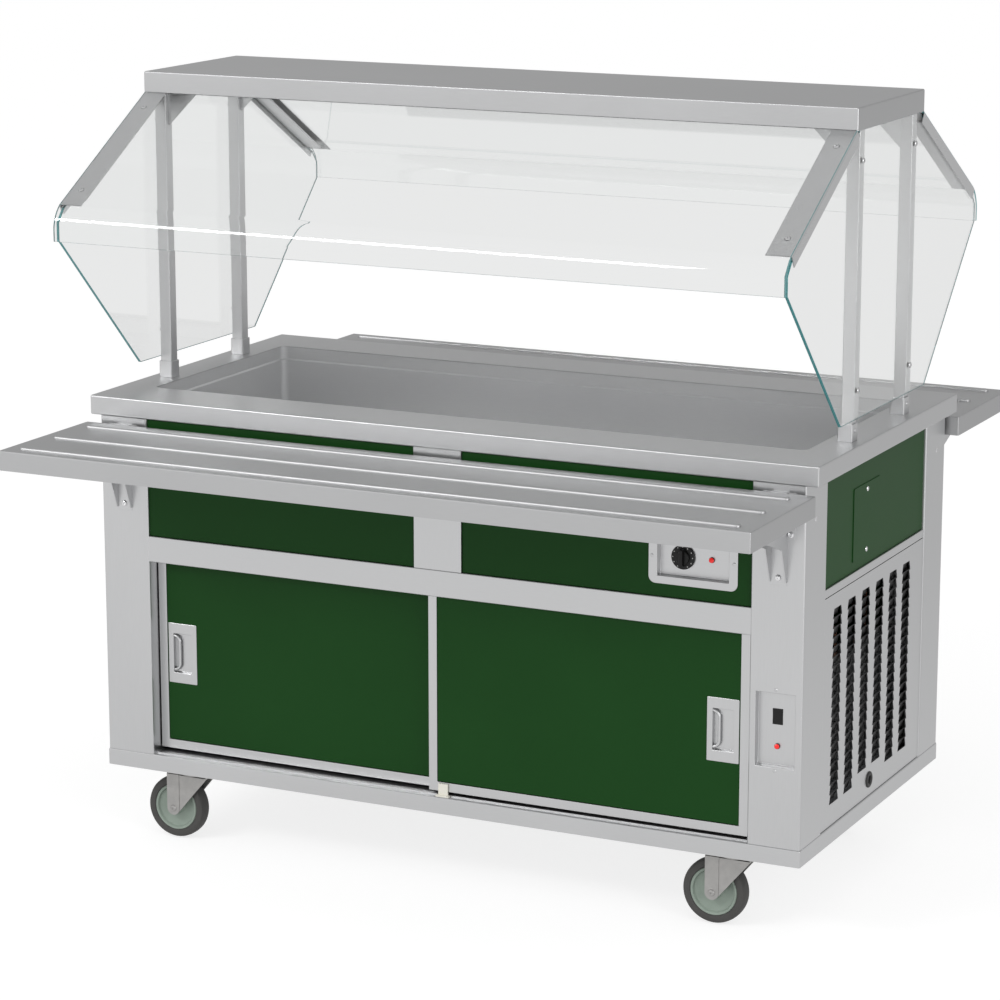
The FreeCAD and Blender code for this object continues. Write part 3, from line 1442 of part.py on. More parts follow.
def make_clamps():
    """The inner clamp strips with their gaskets, and every screw of the guard."""
    right = glass_in - s.glass_gap
    left = right - s.clamp_width
    start = s.clamp_inset * 2
    end = s.arm_length - s.clamp_inset / 2
    strip_outline = slope_outline(clamp_depth, clamp_depth + s.clamp_sheet, start, end)
    strip = padded("clamp_strip", "YZ_Plane", strip_outline, s.clamp_width, (left, 0, 0))
    holes = arm_screw_bars("strip_hole", arm_screw_x, clamp_depth, hole_radius, s.clamp_sheet)
    clamp = cut("clamp_bar", strip, *holes)
    gasket_outline = slope_outline(s.arm_sheet, glass_top_depth - s.gasket_play, start, end)
    gasket_blank = padded("gasket_strip", "YZ_Plane", gasket_outline, s.clamp_width, (left, 0, 0))
    gasket_holes = arm_screw_bars("gasket_hole", arm_screw_x, s.arm_sheet, hole_radius + s.glass_hole_play, s.gasket * 2)
    gasket = cut("gasket_bar", gasket_blank, *gasket_holes)
    screws = []
    head = s.screw_head_height
    heads = arm_screw_bars("arm_screw_head", arm_screw_x, -head, s.screw_head / 2, head)
    shank_length = clamp_depth + s.clamp_sheet + head * 2
    shanks = arm_screw_bars("arm_screw_shank", arm_screw_x, 0, s.screw / 2, shank_length)
    nuts = arm_screw_bars("arm_nut", arm_screw_x, clamp_depth + s.clamp_sheet, s.screw_head / 2, head * 1.5)
    for index, parts in enumerate(zip(heads, shanks, nuts)):
        screws.append(fuse(f"arm_screw_{index}", *parts))
    for name, height in post_screw_heights():
        foot = (post_out - s.post_wall - head, -post_y, height)
        length = glass_out - foot[0]
        shank = rod(f"post_shank_{name}", foot, s.screw / 2, length, TURN_TO_X)
        head_foot = (glass_out, -post_y, height)
        cap = rod(f"post_head_{name}", head_foot, s.screw_head / 2, head, TURN_TO_X)
        screws.append(fuse(f"post_screw_{name}", shank, cap))
    pieces = []
    for piece in [clamp, gasket] + screws:
        pieces += four_ways(f"{piece.Name}_set", piece)
    node("glass_clamps", group("glass_clamps", pieces))


# ---- tray slides ---------------------------------------------------------------------------------------------
tray_top = counter_top - s.tray_drop
tray_back = -counter_half_depth - s.tray_gap
tray_front = tray_back - s.tray_depth
tray_under = tray_top - s.sheet


def make_tray_slides():
    """A folded slide with turned-down lips and three pressed ribs, on both long sides."""
    x = counter_half_length
    bottom = tray_top - s.tray_edge
    pan = tray_block("tray_pan", (-x, tray_front, bottom), (x, tray_back, tray_top), s.sheet, "-z")
    notch_half = s.bracket_width / 2 + s.seam * 2
    middle = counter_half_length - s.bracket_inset
    notch_low = (middle - notch_half, tray_back - s.sheet, bottom)
    notch = block("bracket_notch", notch_low, (middle + notch_half, tray_back, tray_under))
    pieces = [cut("tray_notched_pan", pan, notch, mirror("bracket_notch_across", notch, X_AXIS))]
    rib_x = x - s.tray_rib_inset
    for index in range(3):
        y = tray_front + s.tray_rib_inset + s.tray_rib_pitch * index
        half = s.tray_rib_width / 2
        rib_low = (-rib_x, y - half, tray_top)
        rib_high = (rib_x, y + half, tray_top + s.tray_rib_height)
        blank = block(f"rib_blank_{index}", rib_low, rib_high)
        top = rib_high[2].value

        def chosen(a, b):
            return same(a.z, top) and same(b.z, top)

        pieces.append(round_edges(f"rib_{index}", blank, s.tray_rib_height * 0.8, chosen))
    front = fuse("front_tray_slide", *pieces)
    node("front_tray_slide", front)
    node("rear_tray_slide", mirror("rear_tray_slide", front, Y_AXIS))


def make_tray_brackets():
    """Folded brackets: a back plate with an ear, two tapering webs and a top plate under the slide."""
    x = counter_half_length - s.bracket_inset
    face = -half_depth
    sheet = s.bracket_sheet
    top = tray_under
    bottom = top - s.bracket_height
    half = s.bracket_width / 2
    plate = block("bracket_back", (x - half, face - sheet, bottom), (x + half, face, top))
    ear_low = (x - s.bracket_ear / 2, face - sheet, top - s.bracket_height * 0.5)
    ear = block("bracket_ear_plate", ear_low, (x + s.bracket_ear / 2, face, top))
    reach = face - s.bracket_reach
    corners = [
        (face - sheet, bottom + s.bracket_foot),
        (face - sheet, top),
        (reach, top),
        (reach, top - s.bracket_tip),
        (face - s.bracket_knee_out, bottom + s.bracket_knee_up),
        (face - sheet * 2, bottom + s.bracket_foot),
    ]
    pieces = [plate, ear]
    for name, left in (("near", x - half), ("far", x + half - sheet)):
        pieces.append(padded(f"bracket_{name}_web", "YZ_Plane", corners, sheet, (left, 0, 0)))
    pieces.append(block("bracket_top", (x - half, reach, top - sheet), (x + half, face - sheet, top)))
    ear_bolt_x = x + s.bracket_ear / 2 - s.bracket_bolt_inset
    bolts = (("low", x, s.bracket_low_bolt), ("high", ear_bolt_x, s.bracket_high_bolt))
    for name, at_x, rise in bolts:
        foot = (at_x, face - sheet, bottom + rise)
        pieces.append(rod(f"bracket_{name}_bolt", foot, s.screw_head / 2, s.screw_head_height, TURN_TO_MINUS_Y))
    bracket = fuse("tray_bracket", *pieces)
    node("tray_brackets", group("tray_brackets", four_ways("tray_bracket_set", bracket)))


# ---- sliding doors -------------------------------------------------------------------------------------------
right_door_face = -half_depth + s.door_setback
left_door_face = right_door_face + s.door_spacing
door_bottom = deck + s.door_lift
door_top = opening_top + s.door_lap
door_edge = bay - s.door_end_gap
track_bottom = rail_top - s.sheet - s.track_height


def make_tracks():
    """The twin top track that hangs under the rail's flange, and the low sill on the deck."""
    end = bay - s.seam
    first = right_door_face + s.door_thickness / 2
    second = left_door_face + s.door_thickness / 2
    wall = s.track_wall
    channel = s.track_channel / 2
    slot = s.track_slot / 2
    top = rail_top - s.sheet
    low = (-end, first - channel - wall, track_bottom)
    blank = block("track_blank", low, (end, second + channel + wall, top))
    tools = []
    for name, middle in (("front", first), ("rear", second)):
        inside_low = (-end, middle - channel, track_bottom + wall)
        tools.append(block(f"track_{name}_inside", inside_low, (end, middle + channel, top - wall)))
        slot_low = (-end, middle - slot, track_bottom)
        tools.append(block(f"track_{name}_slot", slot_low, (end, middle + slot, track_bottom + wall)))
    track = cut("top_track", blank, *tools)
    sill_low = (-end, right_door_face, deck)
    sill_high = (end, left_door_face + s.door_thickness, deck + s.sill_height)
    node("door_tracks", group("door_tracks", [track, block("door_sill", sill_low, sill_high)]))


def make_door_guide():
    """The nylon guide in front of the doors' bottom rail: a foot on the deck and an upright tab."""
    x = s.guide_from_middle
    back = right_door_face - s.guide_gap
    front = -half_depth - s.guide_proud
    half = s.guide_width / 2
    foot = block("guide_foot", (x - half, front, deck), (x + half, back, deck + s.guide_sheet))
    half_tab = s.guide_tab / 2
    tab_high = (x + half_tab, back, deck + s.guide_height)
    tab = block("guide_tab_plate", (x - half_tab, back - s.guide_sheet, deck), tab_high)
    node("door_guide", fuse("door_guide", foot, tab))


def make_door(side, face, mirrored):
    """One door: a stainless frame on two hangers, a coated panel and a flush pull with a bow bar."""
    right = door_edge
    left = -s.door_overlap
    back = face + s.door_thickness
    ring = block(f"{side}_ring", (left, face, door_bottom), (right, back, door_top))
    in_left = left + s.door_stile
    in_right = right - s.door_stile
    in_low = door_bottom + s.door_bottom_rail
    in_top = door_top - s.door_stile
    opening = block(f"{side}_opening", (in_left, face, in_low), (in_right, back, in_top))
    pieces = [cut(f"{side}_frame_ring", ring, opening)]
    middle = face + s.door_thickness / 2
    centre = (left + right) / 2
    glide_low = track_bottom + s.track_wall + s.glide_lift
    for name, shift in (("near", -s.hanger_from_middle), ("far", s.hanger_from_middle)):
        x0 = centre + shift - s.hanger_length / 2
        x1 = x0 + s.hanger_length
        plate_low = (x0, middle - s.sheet / 2, door_top)
        pieces.append(block(f"{side}_{name}_hanger", plate_low, (x1, middle + s.sheet / 2, glide_low + s.hanger_lap)))
        half = s.track_channel / 2 - s.glide_clearance
        glide_high = (x1, middle + half, glide_low + s.glide_height)
        pieces.append(block(f"{side}_{name}_glide", (x0, middle - half, glide_low), glide_high))
    frame = fuse(f"{side}_door_frame_right", *pieces)

    gap = s.seam / 2
    panel_front = face + s.door_panel_setback
    panel_back = panel_front + s.door_panel_thickness
    panel_low = (in_left + gap, panel_front, in_low + gap)
    panel = block(f"{side}_panel_blank", panel_low, (in_right - gap, panel_back, in_top - gap))
    plate_right = in_right - s.pull_margin
    plate_left = plate_right - s.pull_width
    plate_middle = door_bottom + s.pull_rise
    plate_low = (plate_left, panel_front - s.pull_lip, plate_middle - s.pull_height / 2)
    plate_high = (plate_right, panel_front, plate_middle + s.pull_height / 2)
    plate = block(f"{side}_pull_plate", plate_low, plate_high)
    cup_x = (plate_left + plate_right) / 2
    half_x = s.cup_width / 2
    half_z = s.cup_height / 2
    wall = s.pull_lip
    shell_low = (cup_x - half_x - wall, panel_front - s.pull_lip, plate_middle - half_z - wall)
    shell_high = (cup_x + half_x + wall, panel_front + s.cup_depth, plate_middle + half_z + wall)
    shell = block(f"{side}_cup_shell", shell_low, shell_high)
    cup_low = (cup_x - half_x, panel_front - s.pull_lip, plate_middle - half_z)
    cup_high = (cup_x + half_x, panel_front + s.cup_depth - wall, plate_middle + half_z)
    hollow = block(f"{side}_cup_hollow", cup_low, cup_high)
    bar = s.bow_bar / 2
    bar_y = panel_front + bar
    # the bow stands at the cup's left as seen from the front, on both doors
    reach = s.bow_bar * 2
    bar_x = cup_x + half_x - reach if mirrored else cup_x - half_x + reach
    stub_start = bar_x if mirrored else cup_x - half_x - wall / 2
    bar_low = plate_middle - half_z + s.bow_bar * 1.5
    bar_length = s.cup_height - s.bow_bar * 3
    upright = rod(f"{side}_bow", (bar_x, bar_y, bar_low), bar, bar_length)
    pull_pieces = [cut(f"{side}_cup", fuse(f"{side}_cup_blank", plate, shell), hollow), upright]
    for name, height in (("low", bar_low + bar), ("high", bar_low + bar_length - bar)):
        foot = (stub_start, bar_y, height)
        pull_pieces.append(rod(f"{side}_bow_{name}", foot, bar, reach + wall / 2, TURN_TO_X))
    pull = fuse(f"{side}_door_pull_right", *pull_pieces)
    hole_low = (shell_low[0] - gap, panel_front, shell_low[2] - gap)
    hole = block(f"{side}_cup_hole", hole_low, (shell_high[0] + gap, panel_back, shell_high[2] + gap))
    panel = cut(f"{side}_door_panel_right", panel, hole)
    for label, piece in ((f"{side}_door_frame", frame), (f"{side}_door_panel", panel), (f"{side}_door_pull", pull)):
        node(label, mirror(f"{label}_mirrored", piece, X_AXIS) if mirrored else piece)


# ---- controls ------------------------------------------------------------------------------------------------
switch_x = half_length - s.post_face / 2
knob_x = bezel_x - s.knob_offset
thermostat_pilot_x = bezel_x + s.pilot_offset
bezel_back = -panel_face
rocker_z = s.switch_z + s.rocker_offset
switch_pilot_z = s.switch_z - s.switch_pilot_offset


def recessed_box(name, x, z, face, width, height, plate, corner):
    """A bezel plate with a sunk box behind its opening; face is what the plate lies on."""
    front = face - s.bezel_sheet
    wall = s.box_sheet
    plate_x, plate_z = plate[0] / 2, plate[1] / 2
    blank = block(name + "_plate", (x - plate_x, front, z - plate_z), (x + plate_x, face, z + plate_z))
    if corner is not None:
        blank = round_edges(name + "_bezel", blank, corner, lambda a, b: same(a.x, b.x) and same(a.z, b.z))
    half_x, half_z = width / 2, height / 2
    back = face + s.recess_depth
    shell_low = (x - half_x - wall, face, z - half_z - wall)
    shell = block(name + "_shell", shell_low, (x + half_x + wall, back + wall, z + half_z + wall))
    inside = block(name + "_inside", (x - half_x, front, z - half_z), (x + half_x, back, z + half_z))
    return fuse(name + "_blank", blank, shell), inside


def make_thermostat():
    """The thermostat box with its works behind, the knob and the pilot light."""
    plate = (s.bezel_length, s.bezel_height)
    size = (s.recess_length, s.recess_height)
    blank, inside = recessed_box("thermostat", bezel_x, bezel_z, bezel_back, *size, plate, s.bezel_corner)
    back = bezel_back + s.recess_depth
    half_works = s.thermostat_side / 2
    works_top = bezel_z + s.thermostat_height / 2
    works_low = (knob_x - half_works, back + s.box_sheet, bezel_z - s.thermostat_height / 2)
    works_high = (knob_x + half_works, back + s.box_sheet + s.thermostat_depth, works_top)
    works = block("thermostat_works", works_low, works_high)
    shaft = s.knob_shaft / 2
    bore_depth = s.box_sheet + s.thermostat_bore
    bore_foot = (knob_x, back + bore_depth, bezel_z)
    bore = rod("thermostat_bore", bore_foot, shaft + s.pin_clearance, bore_depth, TURN_TO_MINUS_Y)
    screws = []
    for name, side in (("left", -1), ("right", 1)):
        x = bezel_x + (s.bezel_length / 2 - s.bezel_screw_inset) * side
        foot = (x, bezel_back - s.bezel_sheet, bezel_z)
        screws.append(rod(f"bezel_{name}_screw", foot, s.screw_head / 3, s.sheet / 2, TURN_TO_MINUS_Y))
    whole = fuse("thermostat_whole", blank, works, *screws)
    node("thermostat_housing", cut("thermostat_housing", whole, inside, bore))

    radius = s.knob_diameter / 2
    length = s.knob_length
    inner_end = -s.box_sheet - s.knob_shaft_length
    corners = [
        (0, inner_end),
        (shaft, inner_end),
        (shaft, 0),
        (radius, 0),
        (radius, s.knob_skirt),
        (radius - s.knob_draft, length),
        (0, length),
    ]
    knob_base = (knob_x, back - s.seam, bezel_z)
    knob = turned("knob_turning", corners, knob_base, TURN_TO_MINUS_Y)
    front = back - s.seam - length
    half_pointer = s.pointer_width / 2
    pointer_top = bezel_z + radius - s.pointer_inset
    pointer_low = (knob_x - half_pointer, front - s.pointer_relief, bezel_z + radius / 3)
    pointer = block("knob_pointer", pointer_low, (knob_x + half_pointer, front + s.pointer_root, pointer_top))
    node("thermostat_knob", fuse("thermostat_knob", knob, pointer))

    lamps = []
    lamp_places = (
        ("thermostat", thermostat_pilot_x, back, bezel_z),
        ("switch", switch_x, -half_depth + s.recess_depth, switch_pilot_z),
    )
    for name, x, y, z in lamp_places:
        lens = s.pilot_diameter / 2
        lens_corners = [(0, 0), (lens, 0), (lens, 1), (lens * 0.8, s.pilot_height * 0.8), (0, s.pilot_height)]
        lamps.append(turned(f"{name}_pilot", lens_corners, (x, y, z), TURN_TO_MINUS_Y))
    node("pilot_lights", group("pilot_lights", lamps))


def make_switch():
    """The switch box sunk in the corner post, and the rocker on its pin."""
    plate = (s.plate_width, s.plate_height)
    size = (s.switch_recess_width, s.switch_recess_height)
    blank, inside = recessed_box("switch", switch_x, s.switch_z, -half_depth, *size, plate, None)
    back = s.recess_depth - half_depth
    half_x = s.rocker_width / 2
    half_z = s.rocker_height / 2
    gap = s.rocker_gap
    wall = s.box_sheet
    depth = s.rocker_depth + s.rocker_space
    works_low = (switch_x - half_x - gap - wall, back, rocker_z - half_z - gap - wall)
    works_high = (switch_x + half_x + gap + wall, back + depth + wall, rocker_z + half_z + gap + wall)
    works = block("switch_works", works_low, works_high)
    cavity_low = (switch_x - half_x - gap, back, rocker_z - half_z - gap)
    cavity = block("switch_cavity", cavity_low, (switch_x + half_x + gap, back + depth, rocker_z + half_z + gap))
    pin_y = back + s.rocker_depth / 2
    pin_length = (half_x + gap + wall) * 2
    pin_foot = (switch_x - half_x - gap - wall, pin_y, rocker_z)
    pin_hole = rod("rocker_pin_hole", pin_foot, s.rocker_pin / 2 + s.pin_clearance / 2, pin_length, TURN_TO_X)
    screws = []
    for name, side in (("low", -1), ("high", 1)):
        z = s.switch_z + (s.plate_height / 2 - s.plate_screw_inset) * side
        foot = (switch_x, -half_depth - s.bezel_sheet, z)
        screws.append(rod(f"switch_{name}_screw", foot, s.screw_head / 3, s.sheet / 2, TURN_TO_MINUS_Y))
    whole = fuse("switch_whole", blank, works, *screws)
    node("switch_housing", cut("switch_housing", whole, inside, cavity, pin_hole))

    front = pin_y - s.rocker_depth * 0.75
    corners = [
        (pin_y + s.rocker_back, rocker_z - half_z * 0.8),
        (pin_y + s.rocker_back, rocker_z + half_z * 0.8),
        (front, rocker_z + half_z),
        (front + s.rocker_dish, rocker_z),
        (front, rocker_z - half_z),
    ]
    paddle = padded("rocker_paddle", "YZ_Plane", corners, s.rocker_width, (switch_x - half_x, 0, 0))
    pin = rod("rocker_pin_bar", pin_foot, s.rocker_pin / 2, pin_length, TURN_TO_X)
    node("switch_rocker", fuse("switch_rocker", paddle, pin))


# ---- the whole bar -------------------------------------------------------------------------------------------
make_base()
make_caster_plates()
for corner_label, corner_x, corner_y in (
    ("front_left_caster", -1, -1),
    ("front_right_caster", 1, -1),
    ("rear_left_caster", -1, 1),
    ("rear_right_caster", 1, 1),
):
    make_caster(corner_label, corner_x, corner_y)
make_corner_posts()
make_frame_rails()
make_panels()
make_louvre_panel()
make_grommet()
make_divider()
make_counter()
make_well()
make_drain()
make_condensing_unit()
make_refrigerant_tubing()
make_overshelf()
make_posts()
make_arms()
make_long_glass()
make_end_glass()
make_clamps()
make_tray_slides()
make_tray_brackets()
make_tracks()
make_door_guide()
make_door("right", right_door_face, False)
make_door("left", left_door_face, True)
make_thermostat()
make_switch()
doc.recompute()

faults = []
for feature in doc.Objects:
    if any(word in state for state in feature.State for word in ("Invalid", "Error")):
        faults.append(f"{feature.Name}: {feature.State}")
for piece in nodes:
    if piece.Shape.isNull() or not piece.Shape.isValid() or not piece.Shape.Solids:
        faults.append(f"{piece.Label}: null, invalid or empty shape")
if faults:
    raise RuntimeError("the model has faults: " + "; ".join(faults))

os.makedirs("parts", exist_ok=True)
for piece in nodes:
    piece.Shape.exportStep(os.path.join("parts", piece.Label + ".step"))
print(len(nodes), "sub-parts written")
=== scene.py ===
import math
import bpy
import bmesh
from mathutils import Matrix, Vector


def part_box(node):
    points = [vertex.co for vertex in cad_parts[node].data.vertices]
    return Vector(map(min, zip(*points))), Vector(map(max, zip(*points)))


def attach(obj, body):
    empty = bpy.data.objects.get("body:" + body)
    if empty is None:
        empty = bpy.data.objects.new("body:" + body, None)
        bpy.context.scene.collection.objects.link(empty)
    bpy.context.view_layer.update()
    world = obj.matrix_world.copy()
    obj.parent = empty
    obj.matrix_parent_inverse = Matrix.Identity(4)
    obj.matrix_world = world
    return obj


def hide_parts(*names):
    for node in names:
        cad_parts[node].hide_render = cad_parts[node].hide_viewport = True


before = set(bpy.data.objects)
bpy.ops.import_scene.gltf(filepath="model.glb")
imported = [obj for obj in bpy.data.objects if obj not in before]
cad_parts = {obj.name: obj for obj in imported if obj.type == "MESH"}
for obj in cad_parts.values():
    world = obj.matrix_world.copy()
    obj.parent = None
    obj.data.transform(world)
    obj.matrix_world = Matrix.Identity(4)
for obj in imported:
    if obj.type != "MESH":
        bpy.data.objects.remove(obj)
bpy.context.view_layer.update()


# ---- camera ----
# It stands off the front right corner, a little above the overshelf, and looks slightly down on the
# bar. The lens is long, so the counter's far edge is nearly as wide as its near edge.
CAMERA_PLACE = (2.8631, -5.9872, 2.2036)
CAMERA_HEADING = 25.97
CAMERA_DIP = 12.81
LENS = 123.9

camera_data = bpy.data.cameras.new("camera")
camera_data.lens = LENS
camera_data.sensor_width = 36.0
camera = bpy.data.objects.new("camera", camera_data)
camera.location = CAMERA_PLACE
camera.rotation_euler = (math.radians(90 - CAMERA_DIP), 0, math.radians(CAMERA_HEADING))
bpy.context.scene.collection.objects.link(camera)
bpy.context.scene.camera = camera
bpy.context.scene.view_settings.view_transform = "Standard"


# ---- base pan ----
# A folded stainless pan 3 mm thick, open underneath, that the posts and panels stand on. Two channels
# run across it inside, over the casters. Its corners are welded and its folds keep the press brake's
# radius.
PAN_SHEET = 0.003
PAN_FOLD = 0.003
CHANNEL_WIDTH = 0.130
CASTER_X = 0.585
DRAIN_X = -0.480
DRAIN_PASSAGE = 0.025


def start_fresh():
    """Leaves nothing selected, so that an operator acts only on what it adds next."""
    if bpy.context.object and bpy.context.object.mode != "OBJECT":
        done_editing()
    bpy.ops.object.select_all(action="DESELECT")


def take(piece):
    """Makes one piece the only selected and active one."""
    start_fresh()
    piece.select_set(True)
    bpy.context.view_layer.objects.active = piece
    return piece


def named(name):
    """Names the piece that an operator has just added, with its place in its mesh."""
    piece = bpy.context.object
    piece.name = name
    bpy.ops.object.transform_apply(location=True, rotation=True, scale=True)
    return piece


def block(name, low, high):
    """A box between two corners."""
    start_fresh()
    centre = [(a + b) / 2 for a, b in zip(low, high)]
    bpy.ops.mesh.primitive_cube_add(size=1, location=centre)
    bpy.context.object.scale = [b - a for a, b in zip(low, high)]
    return named(name)


def pick_faces(piece, wanted):
    """Goes into edit mode with those faces selected whose middle and normal are wanted."""
    take(piece)
    bpy.ops.object.mode_set(mode="EDIT")
    bpy.ops.mesh.select_mode(type="FACE")
    bpy.ops.mesh.select_all(action="DESELECT")
    mesh = bmesh.from_edit_mesh(piece.data)
    for face in mesh.faces:
        face.select_set(bool(wanted(face.calc_center_median(), face.normal)))
    mesh.select_flush_mode()
    bmesh.update_edit_mesh(piece.data)


def pick_edges(piece, wanted):
    """Goes into edit mode with those edges selected whose two ends are wanted."""
    take(piece)
    bpy.ops.object.mode_set(mode="EDIT")
    bpy.ops.mesh.select_mode(type="EDGE")
    bpy.ops.mesh.select_all(action="DESELECT")
    mesh = bmesh.from_edit_mesh(piece.data)
    for edge in mesh.edges:
        edge.select_set(bool(wanted(edge.verts[0].co, edge.verts[1].co)))
    bmesh.update_edit_mesh(piece.data)


def done_editing():
    bpy.ops.object.mode_set(mode="OBJECT")


def draw_out(step):
    """Extrudes what is selected by a step."""
    bpy.ops.mesh.extrude_region_move(TRANSFORM_OT_translate={"value": step})


def round_edges(piece, wanted, offset, segments):
    """Rounds the edges whose two ends are wanted."""
    pick_edges(piece, wanted)
    bpy.ops.mesh.bevel(offset=offset, segments=segments, affect="EDGES")
    done_editing()


def upright(a, b):
    """Whether an edge stands upright, from its two ends."""
    return abs(a.x - b.x) < 1e-5 and abs(a.y - b.y) < 1e-5


def modify(piece, kind, **settings):
    """Adds a modifier and applies it."""
    take(piece)
    bpy.ops.object.modifier_add(type=kind)
    modifier = piece.modifiers[-1]
    for setting, value in settings.items():
        setattr(modifier, setting, value)
    bpy.ops.object.modifier_apply(modifier=modifier.name)


def soften(piece, width, segments=2, angle=30):
    """Rounds every edge that is sharper than an angle."""
    modify(
        piece,
        "BEVEL",
        width=width,
        segments=segments,
        limit_method="ANGLE",
        angle_limit=math.radians(angle),
    )


def edit_whole(piece):
    """Goes into edit mode with the whole piece selected."""
    take(piece)
    bpy.ops.object.mode_set(mode="EDIT")
    bpy.ops.mesh.select_all(action="SELECT")


def close_up(piece):
    """Merges doubled points and turns the faces outwards."""
    edit_whole(piece)
    bpy.ops.mesh.remove_doubles(threshold=1e-6)
    bpy.ops.mesh.normals_make_consistent(inside=False)
    done_editing()


def open_faces(piece, wanted):
    """Takes away the faces whose middle and normal are wanted."""
    pick_faces(piece, wanted)
    bpy.ops.mesh.delete(type="FACE")
    done_editing()


def folded_tray(name, low, high, open_side, sheet, fold):
    """A tray folded from sheet: a box without the face on its open side, given a wall inwards."""
    tray = block(name, low, high)
    open_faces(tray, lambda middle, normal: normal.dot(Vector(open_side)) > 0.9)
    soften(tray, fold, 3)
    modify(tray, "SOLIDIFY", thickness=sheet, offset=-1)
    return tray


def cut_out(piece, cutter):
    """Cuts one piece's shape out of another."""
    modify(piece, "BOOLEAN", operation="DIFFERENCE", object=cutter, solver="EXACT")
    bpy.data.objects.remove(cutter)


def weld(name, pieces):
    """Joins the pieces into one object."""
    start_fresh()
    for piece in pieces:
        piece.select_set(True)
    bpy.context.view_layer.objects.active = pieces[0]
    if len(pieces) > 1:
        bpy.ops.object.join()
    pieces[0].name = name
    return pieces[0]


class Signal:
    """A number that varies over a surface; arithmetic on it adds Math nodes to its finish."""

    def __init__(self, finish, socket):
        self.finish = finish
        self.socket = socket

    def math(self, operation, a, b):
        return self.finish.node("ShaderNodeMath", {"operation": operation}, {0: a, 1: b})

    def __add__(self, other):
        return self.math("ADD", self, other)

    def __sub__(self, other):
        return self.math("SUBTRACT", self, other)

    def __rsub__(self, other):
        return self.math("SUBTRACT", other, self)

    def __mul__(self, other):
        return self.math("MULTIPLY", self, other)

    __radd__ = __add__
    __rmul__ = __mul__


class Finish:
    """A material; node puts in one node and returns its output as a Signal."""

    def __init__(self, name, color, roughness, metallic=0.0, **constants):
        self.material = bpy.data.materials.new(name)
        self.material.use_nodes = True
        self.tree = self.material.node_tree
        self.shader = self.tree.nodes["Principled BSDF"]
        self.set(Base_Color=(*color, 1.0), Roughness=roughness, Metallic=metallic, **constants)
        self.place = self.node("ShaderNodeTexCoord", output="Object")

    def set(self, **values):
        for socket, value in values.items():
            self.feed(self.shader.inputs[socket.replace("_", " ")], value)

    def node(self, kind, settings=None, inputs=None, output=0):
        made = self.tree.nodes.new(kind)
        for setting, value in (settings or {}).items():
            setattr(made, setting, value)
        for socket, value in (inputs or {}).items():
            self.feed(made.inputs[socket], value)
        return Signal(self, made.outputs[output])

    def feed(self, socket, value):
        if isinstance(value, Signal):
            self.tree.links.new(value.socket, socket)
        else:
            socket.default_value = value

    def noise(self, scale, detail=2.0, stretch=(1, 1, 1)):
        """Noise on the piece's own coordinates, scale lumps to the metre; stretch squeezes an axis."""
        where = self.node("ShaderNodeMapping", {}, {"Vector": self.place, "Scale": stretch})
        return self.node("ShaderNodeTexNoise", {}, {"Vector": where, "Scale": scale, "Detail": detail})

    def tint(self, mask, dark, light):
        """A colour that goes from dark to light with the mask."""
        mixed = self.node("ShaderNodeMix", {"data_type": "RGBA"}, {"Factor": mask}, output=2)
        mixer = self.tree.nodes[-1]
        mixer.inputs[6].default_value = (*dark, 1.0)
        mixer.inputs[7].default_value = (*light, 1.0)
        return mixed

    def bump(self, height, depth):
        heights = {"Height": height, "Distance": depth, "Strength": 1.0}
        self.set(Normal=self.node("ShaderNodeBump", {}, heights, output="Normal"))

    def vary(self, mask, dark, light, smooth, spread, depth, grain=None):
        """Lets a mask move the colour and the roughness, and a grain (or the mask) dent the surface."""
        self.set(Base_Color=self.tint(mask, dark, light), Roughness=smooth + mask * spread)
        self.bump(grain or mask, depth)


def brushed(name, grain, shade=0.60, roughness=0.34, depth=0.00002, metallic=1.0):
    """Satin stainless: fine scratches along the grain, and slow changes where it has been handled."""
    finish = Finish(name, (shade, shade, shade), roughness, metallic=metallic)
    across = tuple(1.0 if axis else 45.0 for axis in grain)
    scratches = finish.noise(38.0, 4.0, across)
    broad = finish.noise(3.1, 2.0, tuple(1.0 if axis else 1.6 for axis in grain))
    finish.set(
        Roughness=roughness + (scratches - 0.5) * 0.16 + (broad - 0.5) * 0.12,
        Base_Color=finish.tint(
            scratches * 0.6 + broad * 0.4,
            (shade * 0.90, shade * 0.905, shade * 0.915),
            (shade * 1.08, shade * 1.085, shade * 1.095),
        ),
    )
    finish.bump(scratches, depth)
    return finish.material


steel_along = brushed("brushed_steel_along", (1, 0, 0))
steel_upright = brushed("brushed_steel_upright", (0, 0, 1))
steel_across = brushed("brushed_steel_across", (0, 1, 0))


def fit(piece, body, material, *nodes):
    """Gives a finished piece its material and body, and hides the CAD nodes that it stands for."""
    take(piece)
    bpy.ops.object.shade_smooth_by_angle(angle=math.radians(28))
    modify(piece, "WEIGHTED_NORMAL", keep_sharp=True)
    piece.data.materials.clear()
    piece.data.materials.append(material)
    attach(piece, body)
    if nodes:
        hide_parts(*nodes)
    return piece


low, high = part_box("base_pan")
pan = folded_tray("base_pan_sheet", low, high, (0, 0, -1), PAN_SHEET, PAN_FOLD)
start_fresh()
drain_spot = (DRAIN_X, 0, high.z)
bpy.ops.mesh.primitive_cylinder_add(vertices=40, radius=DRAIN_PASSAGE, depth=0.02, location=drain_spot)
cut_out(pan, named("drain_passage_cutter"))
channels = [pan]
for side in (-1, 1):
    near = (side * CASTER_X - CHANNEL_WIDTH / 2, low.y + PAN_SHEET, low.z)
    far = (side * CASTER_X + CHANNEL_WIDTH / 2, high.y - PAN_SHEET, high.z - PAN_SHEET)
    channel = folded_tray(f"pan_channel_{side}", near, far, (0, 0, 1), PAN_SHEET, PAN_FOLD)
    channels.append(channel)
fit(weld("base_pan_sheet", channels), "cabinet", steel_along, "base_pan")


